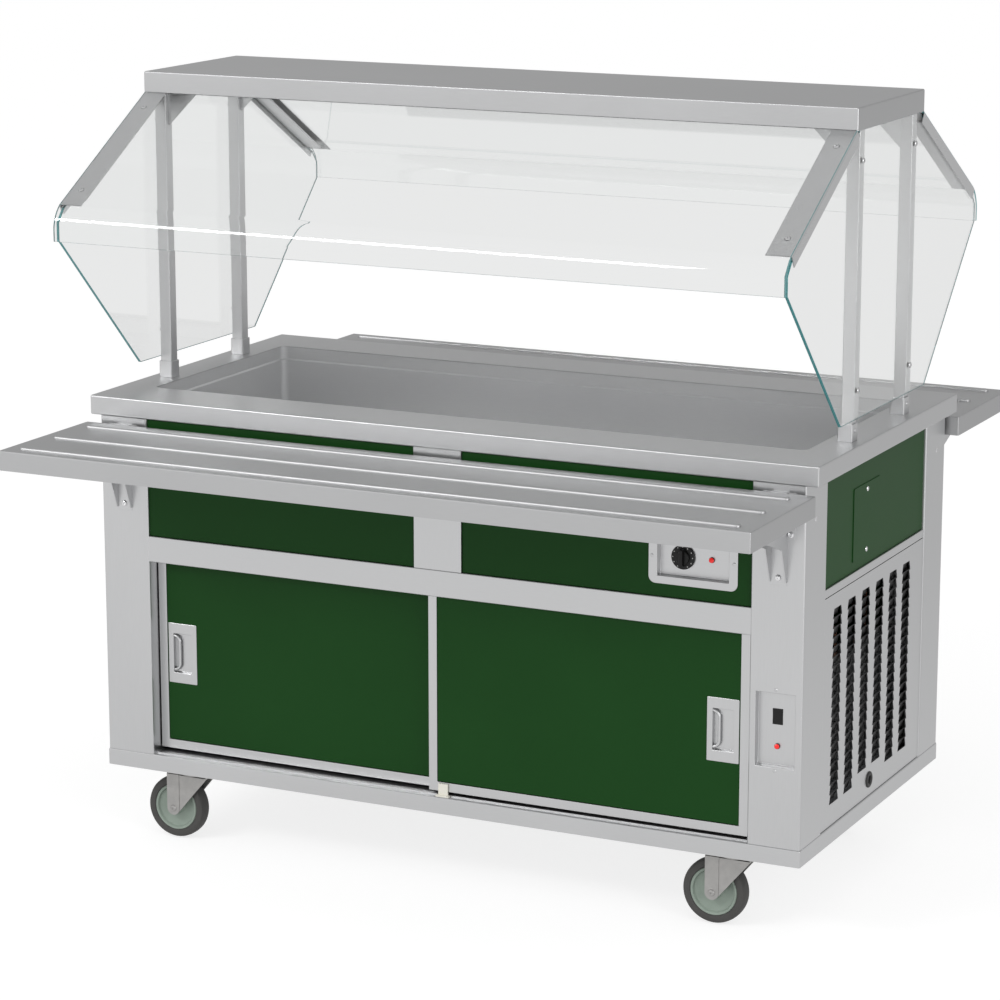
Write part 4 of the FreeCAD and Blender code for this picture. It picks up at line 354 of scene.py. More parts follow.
# ---- casters ----
# Five-inch swivel casters: a pressed and zinc-plated fork on a ball race under a bolted plate, and a
# moulded grey-green wheel with a dark rubber tread. The axle is a bolt with a domed head and a nut.
WHEEL_RADIUS = 0.0635
TREAD_HALF = 0.016
RIM_RADIUS = 0.047
HUB_HALF = 0.0195
WHEEL_BORE = 0.0061
BOSS_RADIUS = 0.014
TRAIL = 0.040
CASTER_Y = 0.303
LEG_INNER = 0.020
LEG_SHEET = 0.003
TOE = 0.014
BAND = 0.0009
CROWN_TOP = 0.137
TAPER = math.radians(40)

zinc = Finish("zinc_plate", (0.42, 0.41, 0.40), 0.42, metallic=0.85)
patches, pits = zinc.noise(55.0, 3.0), zinc.noise(420.0, 2.0)
zinc.vary(patches, (0.33, 0.325, 0.32), (0.50, 0.49, 0.475), 0.36, 0.14, 0.00006, pits)

tread_rubber = Finish("tread_rubber", (0.055, 0.054, 0.052), 0.72)
scuffs, specks = tread_rubber.noise(34.0, 3.0), tread_rubber.noise(900.0, 3.0)
tread_rubber.vary(scuffs, (0.048, 0.047, 0.045), (0.075, 0.073, 0.070), 0.62, 0.2, 0.00012, specks)

hub_plastic = Finish("hub_plastic", (0.27, 0.33, 0.28), 0.45)
flow, pores = hub_plastic.noise(60.0, 2.0), hub_plastic.noise(1500.0, 1.0)
hub_plastic.vary(flow, (0.245, 0.30, 0.255), (0.30, 0.36, 0.31), 0.40, 0.12, 0.00003, pores)


def draw_line(name, points):
    """A chain of edges through the points: one point, extruded from place to place."""
    start_fresh()
    bpy.ops.mesh.primitive_plane_add(size=0.001, location=points[0])
    line = named(name)
    bpy.ops.object.mode_set(mode="EDIT")
    bpy.ops.mesh.select_mode(type="VERT")
    bpy.ops.mesh.merge(type="CENTER")
    for before, after in zip(points, points[1:]):
        step = Vector(after) - Vector(before)
        draw_out(step)
    done_editing()
    return line


def turned(name, centre, profile, axis=(0, 0, 1), steps=48):
    """A lathe-turned piece: a profile of (radius, height) points spun round an axis at its centre."""
    centre = Vector(centre)
    lean = Vector((0, 0, 1)).rotation_difference(Vector(axis))
    points = [centre + lean @ Vector((radius, 0, height)) for radius, height in profile]
    piece = draw_line(name, points)
    edit_whole(piece)
    bpy.ops.mesh.spin(steps=steps, angle=math.tau, center=centre, axis=axis)
    close_up(piece)
    return piece


def both_faces(half):
    """A closed wheel profile from the half on its near face."""
    return half + [(radius, -height) for radius, height in reversed(half)] + half[:1]


def screw_head(name, place, direction, radius, height, steps=20):
    """A domed screw head with a shallow socket in it, standing on a surface."""
    profile = [
        (radius * 0.30, height * 0.55),
        (radius * 0.30, height * 0.97),
        (radius * 0.55, height),
        (radius * 0.85, height * 0.72),
        (radius, height * 0.25),
        (radius, 0),
    ]
    head = turned(name, place, profile, direction, steps)
    pick_edges(head, lambda a, b: False)
    bpy.ops.mesh.select_mode(type="VERT")
    bpy.ops.mesh.select_non_manifold()
    bpy.ops.mesh.edge_face_add()
    done_editing()
    close_up(head)
    return head


for corner, (side_x, side_y) in {
    "front_left": (-1, -1),
    "front_right": (1, -1),
    "rear_left": (-1, 1),
    "rear_right": (1, 1),
}.items():
    pin = Vector((side_x * CASTER_X, side_y * CASTER_Y, CROWN_TOP))
    axle = Vector((pin.x - TRAIL, pin.y, WHEEL_RADIUS))
    rise = CROWN_TOP - axle.z + TOE * math.cos(TAPER)
    reach = axle.x + TOE * math.sin(TAPER) + rise * math.tan(TAPER)
    legs = []
    for face, other in ((-LEG_INNER - LEG_SHEET, -LEG_INNER), (LEG_INNER, LEG_INNER + LEG_SHEET)):
        leg = block(
            f"{corner}_leg_{len(legs)}",
            (axle.x - TOE, axle.y + face, axle.z - TOE),
            (reach, axle.y + other, CROWN_TOP),
        )
        pick_faces(leg, lambda middle, normal: True)
        slant = Vector((math.cos(TAPER), 0, -math.sin(TAPER)))
        bpy.ops.mesh.bisect(plane_co=axle + slant * TOE, plane_no=slant, use_fill=True, clear_outer=True)
        done_editing()
        foot = axle.z - TOE
        for sign, width in ((-1, TOE * 0.998), (1, TOE * math.tan((math.pi / 2 - TAPER) / 2) * 0.998)):
            round_edges(
                leg,
                lambda a, b: abs(a.z - foot) < 1e-4
                and abs(b.z - foot) < 1e-4
                and abs(a.x - b.x) < 1e-4
                and (a.x - axle.x) * sign > 0,
                width,
                8,
            )
        soften(leg, 0.0008, 2)
        outer = face - BAND if face < 0 else other
        band = block(
            f"{corner}_band_{len(legs)}",
            (axle.x - TOE, axle.y + outer - 0.0002, axle.z - TOE),
            (axle.x + TOE, axle.y + outer + BAND + 0.0002, CROWN_TOP - 0.002),
        )
        round_edges(
            band,
            lambda a, b: abs(a.z - foot) < 1e-4 and abs(b.z - foot) < 1e-4 and abs(a.x - b.x) < 1e-4,
            TOE * 0.998,
            8,
        )
        soften(band, 0.0004, 2)
        legs += [leg, band]
    crown = block(
        f"{corner}_crown",
        (axle.x - TOE, axle.y - LEG_INNER - LEG_SHEET, CROWN_TOP - 0.004),
        (reach - 0.003, axle.y + LEG_INNER + LEG_SHEET, CROWN_TOP),
    )
    soften(crown, 0.001, 2)
    race_line = [(0.006, 0), (0.030, 0), (0.030, 0.004), (0.028, 0.006), (0.030, 0.008), (0.030, 0.0155)]
    race = turned(f"{corner}_race", pin, race_line + [(0.006, 0.0155)])
    fork = weld(f"{corner}_fork_pressing", legs + [crown, race])
    fit(fork, f"{corner}_swivel", zinc.material, f"{corner}_caster_fork")
    bolt_parts = []
    for end in (-1, 1):
        seat = axle + Vector((0, end * (LEG_INNER + LEG_SHEET), 0))
        flange = turned(
            f"{corner}_axle_washer_{end}",
            seat,
            [(0, 0), (0.0095, 0), (0.0095, 0.0008), (0.0088, 0.0012), (0, 0.0012)],
            (0, end, 0),
            24,
        )
        face = seat + Vector((0, end * 0.0012, 0))
        head = screw_head(f"{corner}_axle_head_{end}", face, (0, end, 0), 0.0068, 0.0028)
        bolt_parts += [flange, head]
    fit(weld(f"{corner}_axle_bolt", bolt_parts), f"{corner}_swivel", zinc.material)

    hub_half = TREAD_HALF - 0.003
    hub = turned(
        f"{corner}_hub_moulding",
        axle,
        both_faces(
            [
                (WHEEL_BORE, -HUB_HALF),
                (BOSS_RADIUS - 0.001, -HUB_HALF),
                (BOSS_RADIUS, -HUB_HALF + 0.001),
                (BOSS_RADIUS + 0.002, -hub_half + 0.005),
                (0.030, -hub_half + 0.0065),
                (RIM_RADIUS - 0.007, -hub_half + 0.004),
                (RIM_RADIUS - 0.0045, -hub_half - 0.0005),
                (RIM_RADIUS - 0.001, -hub_half - 0.0015),
                (RIM_RADIUS, -hub_half),
            ]
        ),
        (0, 1, 0),
        64,
    )
    fit(hub, f"{corner}_roller", hub_plastic.material)
    tread = turned(
        f"{corner}_tread",
        axle,
        both_faces(
            [
                (RIM_RADIUS, -hub_half),
                (RIM_RADIUS + 0.002, -TREAD_HALF + 0.001),
                (RIM_RADIUS + 0.006, -TREAD_HALF),
                (WHEEL_RADIUS - 0.006, -TREAD_HALF),
                (WHEEL_RADIUS - 0.003, -TREAD_HALF + 0.0015),
                (WHEEL_RADIUS - 0.0008, -TREAD_HALF + 0.006),
                (WHEEL_RADIUS, -0.004),
            ]
        ),
        (0, 1, 0),
        96,
    )
    fit(tread, f"{corner}_roller", tread_rubber.material, f"{corner}_caster_wheel")


# ---- corner posts ----
# Each post is one stainless sheet folded to an L, with a return along both free edges that stiffens it
# and takes the panels' screws. The one at the right of the doors is cut out for the switch.
POST_FACE = 0.100
POST_SIDE = 0.106
POST_RETURN = 0.018
JAMB_RETURN = 0.034
SHEET = 0.002
FOLD = 0.0025
HALF_LENGTH = 0.737
HALF_DEPTH = 0.379
DECK = 0.190
CABINET_TOP = 0.870
SWITCH_Z = 0.412
SWITCH_CUT = (0.0405, 0.072)


def bent_sheet(name, profile, run, sheet, fold, segments=3, inwards=1):
    """Sheet bent on a brake: a line through the fold points, drawn along run, rounded and thickened."""
    strip = draw_line(name, profile)
    edit_whole(strip)
    draw_out(run)
    done_editing()
    inner = [Vector(point) for point in profile[1:-1]]
    pick_edges(
        strip,
        lambda a, b: abs((b - a).normalized().dot(Vector(run).normalized())) > 0.999
        and any(((a - point).cross(Vector(run).normalized())).length < 1e-5 for point in inner),
    )
    if inner:
        bpy.ops.mesh.bevel(offset=fold, segments=segments, affect="EDGES")
    done_editing()
    modify(strip, "SOLIDIFY", thickness=sheet, offset=-inwards)
    close_up(strip)
    return strip


def mirrored(piece, name, flip_x=False, flip_y=False):
    """A copy with its own mesh, mirrored across the middle planes of the bar."""
    take(piece)
    bpy.ops.object.duplicate()
    copy = bpy.context.object
    copy.name = name
    copy.scale = (-1 if flip_x else 1, -1 if flip_y else 1, 1)
    bpy.ops.object.transform_apply(scale=True)
    close_up(copy)
    return copy


def on_four_corners(first, name):
    """The first piece and its three mirror images, numbered."""
    return [
        first,
        mirrored(first, f"{name}_2", flip_x=True),
        mirrored(first, f"{name}_3", flip_y=True),
        mirrored(first, f"{name}_4", flip_x=True, flip_y=True),
    ]


x, y = -HALF_LENGTH, -HALF_DEPTH
post_profile = [
    (x + POST_FACE, y + JAMB_RETURN, DECK),
    (x + POST_FACE, y, DECK),
    (x, y, DECK),
    (x, y + POST_SIDE, DECK),
    (x + POST_RETURN, y + POST_SIDE, DECK),
]
post_run = (0, 0, CABINET_TOP - DECK)
front_left_post = bent_sheet("front_left_post_sheet", post_profile, post_run, SHEET, FOLD)
front_right_post = mirrored(front_left_post, "front_right_post_sheet", flip_x=True)
rear_left_post = mirrored(front_left_post, "rear_left_post_sheet", flip_y=True)
rear_right_post = mirrored(front_left_post, "rear_right_post_sheet", flip_x=True, flip_y=True)
switch_x = HALF_LENGTH - POST_FACE / 2
cutter = block(
    "switch_cutter",
    (switch_x - SWITCH_CUT[0], -HALF_DEPTH - 0.005, SWITCH_Z - SWITCH_CUT[1]),
    (switch_x + SWITCH_CUT[0], -HALF_DEPTH + 0.005, SWITCH_Z + SWITCH_CUT[1]),
)
cut_out(front_right_post, cutter)
for post, corner in (
    (front_left_post, "front_left"),
    (front_right_post, "front_right"),
    (rear_left_post, "rear_left"),
    (rear_right_post, "rear_right"),
):
    fit(post, "cabinet", steel_upright, f"corner_post_{corner}")


# ---- rails and mullion ----
# The rail over the doors is folded with a hem below and a deep flange above that carries the door
# track. The mullion and the short rail on the right end are folded channels, open at the back.
RAIL_BOTTOM = 0.584
RAIL_TOP = 0.636
RAIL_FLANGE = 0.046
MULLION_HALF = 0.050
CHANNEL_DEPTH = 0.020
BAY = 0.637
SIDE_BAY = 0.273
END_RAIL_BOTTOM = 0.6375
END_RAIL_TOP = 0.6535
SEAM = 0.00025

mid_rail = bent_sheet(
    "mid_rail_sheet",
    [
        (SEAM - BAY, -HALF_DEPTH + 0.005, RAIL_BOTTOM),
        (SEAM - BAY, -HALF_DEPTH, RAIL_BOTTOM),
        (SEAM - BAY, -HALF_DEPTH, RAIL_TOP),
        (SEAM - BAY, -HALF_DEPTH + RAIL_FLANGE, RAIL_TOP),
    ],
    ((BAY - SEAM) * 2, 0, 0),
    SHEET,
    FOLD,
    inwards=-1,
)
mullion = folded_tray(
    "mullion_sheet",
    (-MULLION_HALF, -HALF_DEPTH, RAIL_TOP),
    (MULLION_HALF, -HALF_DEPTH + CHANNEL_DEPTH, CABINET_TOP),
    (0, 1, 0),
    SHEET,
    0.0012,
)
end_rail = folded_tray(
    "end_rail_sheet",
    (HALF_LENGTH - CHANNEL_DEPTH, SEAM - SIDE_BAY, END_RAIL_BOTTOM),
    (HALF_LENGTH, SIDE_BAY - SEAM, END_RAIL_TOP),
    (-1, 0, 0),
    SHEET,
    0.0012,
)
fit(mid_rail, "cabinet", steel_along, "frame_rails")
fit(mullion, "cabinet", steel_upright)
fit(end_rail, "cabinet", steel_across)


# ---- green panels ----
# Shallow steel trays in dark green powder coat, pressed 18 mm deep and set 4 mm behind the posts. The
# coat has a fine orange peel, and rounds off the edges of the sheet.
PANEL_SHEET = 0.0015
PANEL_DEPTH = 0.018
PANEL_FACE = 0.375
END_PANEL_FACE = 0.733
GAP = 0.0005

green_coat = Finish("green_powder_coat", (0.0068, 0.0500, 0.0072), 0.42, Specular_IOR_Level=0.13)
peel = green_coat.noise(420.0, 2.0)
dust = green_coat.noise(5.0, 3.0)
green_coat.set(
    Base_Color=green_coat.tint(dust, (0.0058, 0.0455, 0.0062), (0.0078, 0.0545, 0.0084)),
    Roughness=0.38 + peel * 0.06 + dust * 0.05,
)
green_coat.bump(peel, 0.00006)

PANELS = {
    "upper_panel_left": (
        (GAP - BAY, -PANEL_FACE, RAIL_TOP + GAP),
        (-MULLION_HALF - GAP, PANEL_DEPTH - PANEL_FACE, CABINET_TOP - GAP),
        (0, 1, 0),
    ),
    "rear_panel": (
        (GAP - BAY, PANEL_FACE - PANEL_DEPTH, DECK + GAP),
        (BAY - GAP, PANEL_FACE, CABINET_TOP - GAP),
        (0, -1, 0),
    ),
    "left_end_panel": (
        (-END_PANEL_FACE, GAP - SIDE_BAY, DECK + GAP),
        (PANEL_DEPTH - END_PANEL_FACE, SIDE_BAY - GAP, CABINET_TOP - GAP),
        (1, 0, 0),
    ),
    "right_end_panel": (
        (END_PANEL_FACE - PANEL_DEPTH, GAP - SIDE_BAY, END_RAIL_TOP + GAP),
        (END_PANEL_FACE, SIDE_BAY - GAP, CABINET_TOP - GAP),
        (-1, 0, 0),
    ),
}
for label, (low, high, open_side) in PANELS.items():
    panel = folded_tray(f"{label}_tray", low, high, open_side, PANEL_SHEET, 0.0012)
    fit(panel, "cabinet", green_coat.material, label)

BEZEL = (0.520, 0.712)
RECESS_HALF = (0.0705, 0.0365)
upper_right = folded_tray(
    "upper_panel_right_tray",
    (MULLION_HALF + GAP, -PANEL_FACE, RAIL_TOP + GAP),
    (BAY - GAP, PANEL_DEPTH - PANEL_FACE, CABINET_TOP - GAP),
    (0, 1, 0),
    PANEL_SHEET,
    0.0012,
)
cutter = block(
    "bezel_cutter",
    (BEZEL[0] - RECESS_HALF[0] - 0.002, -PANEL_FACE - 0.004, BEZEL[1] - RECESS_HALF[1] - 0.002),
    (BEZEL[0] + RECESS_HALF[0] + 0.002, -PANEL_FACE + 0.004, BEZEL[1] + RECESS_HALF[1] + 0.002),
)
cut_out(upper_right, cutter)
fit(upper_right, "cabinet", green_coat.material, "upper_panel_right")


# ---- access hatch ----
# A square plate over a hole in the right end's green panel, for the thermostat's wiring. It is coated
# with the panel, has slightly rounded corners and is held by a bright screw at its top and bottom.
HATCH_Y = -0.050
HATCH_Z = 0.742
HATCH_HALF = 0.070
HATCH_SCREW = 0.058

hatch = block(
    "hatch_plate",
    (END_PANEL_FACE, HATCH_Y - HATCH_HALF, HATCH_Z - HATCH_HALF),
    (END_PANEL_FACE + PANEL_SHEET, HATCH_Y + HATCH_HALF, HATCH_Z + HATCH_HALF),
)
round_edges(hatch, lambda a, b: abs(a.y - b.y) < 1e-5 and abs(a.z - b.z) < 1e-5, 0.003, 4)
soften(hatch, 0.0004, 2)
fit(hatch, "cabinet", green_coat.material, "access_hatch")

bright = Finish("bright_screw", (0.78, 0.78, 0.79), 0.16, metallic=1.0)
turning = bright.noise(900.0, 2.0)
bright.vary(turning, (0.72, 0.72, 0.73), (0.86, 0.86, 0.87), 0.12, 0.10, 0.00001)
hatch_screws = [
    screw_head(
        f"hatch_screw_{side}",
        (END_PANEL_FACE + PANEL_SHEET, HATCH_Y, HATCH_Z + side * HATCH_SCREW),
        (1, 0, 0),
        0.0048,
        0.0022,
    )
    for side in (-1, 1)
]
fit(weld("hatch_screws", hatch_screws), "cabinet", bright.material)


# ---- louvred panel ----
# The lower half of the right end is stainless, with columns of pressed louvres that let the condenser
# breathe. Each slot is wider at its lower edge, and its lip is pressed inwards and down behind it.
LOUVRE_TOP = 0.608
LOUVRE_PITCH = 0.0188
LOUVRE_ROWS = 20
COLUMN_PITCH = 0.0755
COLUMN_MIDDLE = -0.014
SLOT_NARROW = 0.0180
SLOT_WIDE = 0.0238
LIP_REACH = 0.009
PANEL_LOW = 0.1905
PANEL_HIGH = 0.6365
GROMMET = (-0.011, 0.222)


def flat_outline(name, points):
    """A closed flat loop of edges."""
    loop = draw_line(name, list(points) + [points[0]])
    edit_whole(loop)
    bpy.ops.mesh.remove_doubles(threshold=1e-6)
    done_editing()
    return loop


def column_slots(column):
    """The toothed outline of one column: each row narrow above and wide below."""
    middle = COLUMN_MIDDLE + (column - 2.5) * COLUMN_PITCH
    rows = LOUVRE_ROWS - (1 if column in (2, 3) else 0)
    left, right = [], []
    for row in range(rows):
        top = LOUVRE_TOP - row * LOUVRE_PITCH
        foot = top - LOUVRE_PITCH + 0.0002
        for z, half in ((top, SLOT_NARROW), (foot, SLOT_WIDE)):
            left.append((HALF_LENGTH, middle - half, z))
            right.append((HALF_LENGTH, middle + half, z))
    return middle, rows, left + right[::-1]


face_y = SIDE_BAY - GAP
outlines = [
    flat_outline(
        "louvre_border",
        [
            (HALF_LENGTH, -face_y, PANEL_LOW),
            (HALF_LENGTH, face_y, PANEL_LOW),
            (HALF_LENGTH, face_y, PANEL_HIGH),
            (HALF_LENGTH, -face_y, PANEL_HIGH),
        ],
    )
]
lips = []
for column in range(6):
    middle, rows, points = column_slots(column)
    outlines.append(flat_outline(f"louvre_column_{column}", points))
    lip = bent_sheet(
        f"louvre_lip_{column}",
        [
            (HALF_LENGTH - 0.0012, middle - SLOT_WIDE, LOUVRE_TOP + 0.0005),
            (HALF_LENGTH - LIP_REACH * 0.55, middle - SLOT_WIDE, LOUVRE_TOP - 0.004),
            (HALF_LENGTH - LIP_REACH, middle - SLOT_WIDE, LOUVRE_TOP - 0.0175),
        ],
        (0, SLOT_WIDE * 2, 0),
        0.001,
        0.001,
        2,
    )
    modify(
        lip,
        "ARRAY",
        count=rows,
        use_relative_offset=False,
        use_constant_offset=True,
        constant_offset_displace=(0, 0, -LOUVRE_PITCH),
    )
    lips.append(lip)
start_fresh()
bpy.ops.mesh.primitive_circle_add(
    vertices=32, radius=0.012, location=(HALF_LENGTH, *GROMMET), rotation=(0, math.pi / 2, 0)
)
outlines.append(named("louvre_cord_hole"))
louvre_face = weld("louvre_face_sheet", outlines)
edit_whole(louvre_face)
bpy.ops.mesh.fill(use_beauty=True)
bpy.ops.mesh.dissolve_limited(angle_limit=0.01)
bpy.ops.mesh.normals_make_consistent(inside=False)
done_editing()
if sum(face.normal.x * face.area for face in louvre_face.data.polygons) < 0:
    edit_whole(louvre_face)
    bpy.ops.mesh.flip_normals()
    done_editing()
modify(louvre_face, "SOLIDIFY", thickness=SHEET, offset=-1)
fit(louvre_face, "cabinet", steel_upright, "louvre_panel")
# The lips' steel is coloured nearly black: painted shade for the dark inside the slots.
lip_steel_painted_shade = brushed("louvre_lip_painted_shade", (0, 1, 0), 0.07, 0.5)
fit(weld("louvre_lips", lips), "cabinet", lip_steel_painted_shade)
flanges = folded_tray(
    "louvre_panel_flanges",
    (HALF_LENGTH - PANEL_DEPTH, -face_y, PANEL_LOW),
    (HALF_LENGTH - SHEET, face_y, PANEL_HIGH),
    (-1, 0, 0),
    SHEET,
    0.001,
)
open_faces(flanges, lambda middle, normal: abs(normal.x) > 0.9 and middle.x > HALF_LENGTH - SHEET * 3)
fit(flanges, "cabinet", steel_upright)


# ---- cord grommet ----
# A black rubber grommet pressed into the louvred panel where the supply cord goes in. Its outer lip is
# rolled over the sheet.
grommet = turned(
    "cord_grommet_ring",
    (HALF_LENGTH, *GROMMET),
    [
        (0.008, -0.006),
        (0.015, -0.006),
        (0.015, -0.002),
        (0.012, -0.002),
        (0.012, 0),
        (0.016, 0),
        (0.0158, 0.0016),
        (0.0140, 0.0028),
        (0.0112, 0.0030),
        (0.0090, 0.0024),
        (0.008, 0.001),
        (0.008, -0.006),
    ],
    (1, 0, 0),
    40,
)
black_rubber = Finish("black_rubber", (0.018, 0.018, 0.018), 0.55)
bloom = black_rubber.noise(160.0, 3.0)
black_rubber.vary(bloom, (0.014, 0.014, 0.014), (0.028, 0.028, 0.027), 0.45, 0.2, 0.00005)
fit(grommet, "cabinet", black_rubber.material, "cord_grommet")


# ---- counter top ----
# One stainless sheet with its edges turned down and back under, and rounded where hands and trays touch
# it. The opening's corners are rounded to the well's cove.
COUNTER_HALF = (0.762, 0.381)
COUNTER_TOP = 0.908
COUNTER_ROUND = 0.003
COUNTER_RETURN = 0.045
WELL_HALF = (0.690, 0.2575)
COVE = 0.014

counter_sheet = block(
    "counter_sheet",
    (-COUNTER_HALF[0], -COUNTER_HALF[1], CABINET_TOP),
    (COUNTER_HALF[0], COUNTER_HALF[1], COUNTER_TOP),
)
pick_faces(counter_sheet, lambda middle, normal: normal.z < -0.9)
bpy.ops.mesh.inset(thickness=COUNTER_RETURN)
bpy.ops.mesh.delete(type="FACE")
done_editing()
pick_faces(counter_sheet, lambda middle, normal: normal.z > 0.9)
rim = COUNTER_HALF[0] - WELL_HALF[0]
bpy.ops.mesh.inset(thickness=rim)
bpy.ops.transform.resize(value=(1, WELL_HALF[1] / (COUNTER_HALF[1] - rim), 1))
bpy.ops.mesh.delete(type="FACE")
done_editing()


def at_opening_corner(place):
    """Whether a point is a corner of the well's opening in the counter."""
    on_corner = abs(abs(place.x) - WELL_HALF[0]) < 1e-4 and abs(abs(place.y) - WELL_HALF[1]) < 1e-4
    return on_corner and abs(place.z - COUNTER_TOP) < 1e-4


take(counter_sheet)
bpy.ops.object.mode_set(mode="EDIT")
bpy.ops.mesh.select_mode(type="VERT")
bpy.ops.mesh.select_all(action="DESELECT")
edit = bmesh.from_edit_mesh(counter_sheet.data)
for vertex in edit.verts:
    vertex.select_set(at_opening_corner(vertex.co))
bmesh.update_edit_mesh(counter_sheet.data)
bpy.ops.mesh.bevel(offset=COVE, segments=6, affect="VERTICES")
done_editing()
round_edges(
    counter_sheet,
    lambda a, b: min(abs(a.x), abs(b.x)) > COUNTER_HALF[0] - 1e-4
    and abs(a.x - b.x) < 1e-4
    or min(abs(a.y), abs(b.y)) > COUNTER_HALF[1] - 1e-4
    and abs(a.y - b.y) < 1e-4,
    COUNTER_ROUND,
    4,
)
modify(counter_sheet, "SOLIDIFY", thickness=SHEET, offset=-1)
close_up(counter_sheet)
counter_steel = brushed("brushed_steel_counter", (1, 0, 0), 0.58, 0.36)
fit(counter_sheet, "cabinet", counter_steel, "counter_top")


# ---- cold well ----
# A seamless stainless liner with coved corners hangs from the counter's opening by a flange. A small
# ledge near the rim carries food pans. A round strainer covers the drain.
LEDGE_DROP = 0.026
LEDGE = 0.003
WELL_FLOOR = 0.703
WELL_SHEET = 0.0015
RIM_Z = COUNTER_TOP - SHEET
CASE_HALF = (0.714, 0.3075)

well = block(
    "well_liner_sheet",
    (-WELL_HALF[0], -WELL_HALF[1], WELL_FLOOR),
    (WELL_HALF[0], WELL_HALF[1], RIM_Z),
)
open_faces(well, lambda middle, normal: normal.z > 0.9)
for height in (COUNTER_TOP - LEDGE_DROP, COUNTER_TOP - LEDGE_DROP - LEDGE):
    pick_faces(well, lambda middle, normal: True)
    bpy.ops.mesh.bisect(plane_co=(0, 0, height), plane_no=(0, 0, 1))
    done_editing()
pick_faces(well, lambda middle, normal: middle.z < COUNTER_TOP - LEDGE_DROP - LEDGE)
bpy.ops.transform.resize(value=(1 - LEDGE / WELL_HALF[0], 1 - LEDGE / WELL_HALF[1], 1))
done_editing()
round_edges(
    well,
    lambda a, b: (abs(a.x - b.x) < 0.004 and abs(a.y - b.y) < 0.004)
    or (a.z < WELL_FLOOR + 1e-4 and b.z < WELL_FLOOR + 1e-4),
    COVE,
    6,
)
pick_edges(well, lambda a, b: a.z > RIM_Z - 1e-4 and b.z > RIM_Z - 1e-4)
draw_out((0, 0, 0))
bpy.ops.transform.resize(value=(CASE_HALF[0] / WELL_HALF[0], CASE_HALF[1] / WELL_HALF[1], 1))
done_editing()
edit_whole(well)
bpy.ops.mesh.flip_normals()
done_editing()
modify(well, "SOLIDIFY", thickness=WELL_SHEET, offset=-1)
close_up(well)
# A lighter, half-metallic copy of the stainless: painted light that brightens the deep well as if more
# light reached into it.
well_steel_painted_light = brushed("brushed_steel_well_painted_light", (1, 0, 0), 0.66, 0.45, metallic=0.5)
fit(well, "cabinet", well_steel_painted_light, "well_liner")

strainer_line = [(0, 0.0022), (0.012, 0.0022), (0.014, 0.0016), (0.022, 0.0018), (0.028, 0.0016)]
strainer_line += [(0.030, 0.0004), (0.030, 0)]
strainer = turned("drain_strainer", (DRAIN_X, 0, WELL_FLOOR), strainer_line)
fit(strainer, "cabinet", bright.material)


# ---- overshelf ----
# A folded stainless tray turned upside down, with welded corners. It joins the posts and carries the
# glass.
SHELF_SHEET = 0.002
low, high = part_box("overshelf")
shelf = folded_tray("overshelf_sheet", low, high, (0, 0, -1), SHELF_SHEET, 0.003)
shelf_steel = brushed("brushed_steel_shelf", (1, 0, 0), 0.52, 0.38)
fit(shelf, "cabinet", shelf_steel, "overshelf")
SHELF_BOTTOM = low.z
SHELF_TOP = high.z
SHELF_HALF = (high.x, high.y)


# ---- shelf posts ----
# Square stainless tubes with rounded corners. Each stands in a collar that is pinned by a screw, and a
# gusset plate welded to its top stiffens it under the shelf.
POST_X = 0.7255
POST_Y = 0.142
TUBE_HALF = 0.0125
COLLAR_HALF = 0.015
COLLAR_HEIGHT = 0.033
GUSSET_LEG = 0.070
GUSSET_HALF = 0.0015

tube = block(
    "post_tube",
    (POST_X - TUBE_HALF, -POST_Y - TUBE_HALF, COUNTER_TOP),
    (POST_X + TUBE_HALF, -POST_Y + TUBE_HALF, SHELF_TOP - SHELF_SHEET),
)
round_edges(tube, upright, 0.0025, 4)
collar = block(
    "post_collar",
    (POST_X - COLLAR_HALF, -POST_Y - COLLAR_HALF, COUNTER_TOP),
    (POST_X + COLLAR_HALF, -POST_Y + COLLAR_HALF, COUNTER_TOP + COLLAR_HEIGHT),
)
round_edges(collar, upright, 0.003, 4)
soften(collar, 0.0008, 2)
inner_x = POST_X - TUBE_HALF
gusset = block(
    "post_gusset",
    (inner_x - GUSSET_LEG, -POST_Y - GUSSET_HALF, SHELF_BOTTOM - GUSSET_LEG),
    (inner_x, -POST_Y + GUSSET_HALF, SHELF_TOP - SHELF_SHEET),
)
pick_faces(gusset, lambda middle, normal: True)
bpy.ops.mesh.bisect(
    plane_co=(inner_x - GUSSET_LEG, -POST_Y, SHELF_BOTTOM),
    plane_no=(-1, 0, -1),
    use_fill=True,
    clear_outer=True,
)
done_editing()
soften(gusset, 0.0006, 2)
pin_place = (POST_X + COLLAR_HALF, -POST_Y, COUNTER_TOP + 0.020)
pin_head = screw_head("collar_screw", pin_place, (1, 0, 0), 0.004, 0.002)
first_post = weld("shelf_post_1", [tube, collar, gusset, pin_head])
stands_for = ["shelf_posts"]
for post in on_four_corners(first_post, "shelf_post"):
    fit(post, "cabinet", steel_upright, *stands_for)
    stands_for = []


# ---- glass guard ----
# Four panes of 6 mm toughened glass. The long ones are bent near their foot to hang upright; the end
# ones are flat and cut to the long ones' inner line. The ground edges show the green of the glass.
GLASS = 0.006
GLASS_X = 0.7445
GUARD_Y = 0.514
ARM_SLOPE = math.radians(30.2)
UNDER_ARM = 0.0045
BEND = 0.050
HEM_BOTTOM = 1.231
GLASS_TOP = SHELF_BOTTOM - 0.0005
END_FOOT = (0.228, 0.950)

clear_glass = Finish("clear_glass", (0.985, 0.992, 0.990), 0.0, Transmission_Weight=1.0, IOR=1.45)
smear = clear_glass.noise(6.0, 3.0)
clear_glass.set(Roughness=smear * 0.012)
glass_edge = Finish("glass_edge", (0.07, 0.27, 0.28), 0.12, IOR=1.5)
grind = glass_edge.noise(700.0, 2.0)
glass_edge.set(
    Base_Color=glass_edge.tint(grind, (0.055, 0.235, 0.245), (0.085, 0.30, 0.31)),
    Roughness=0.10 + grind * 0.12,
)


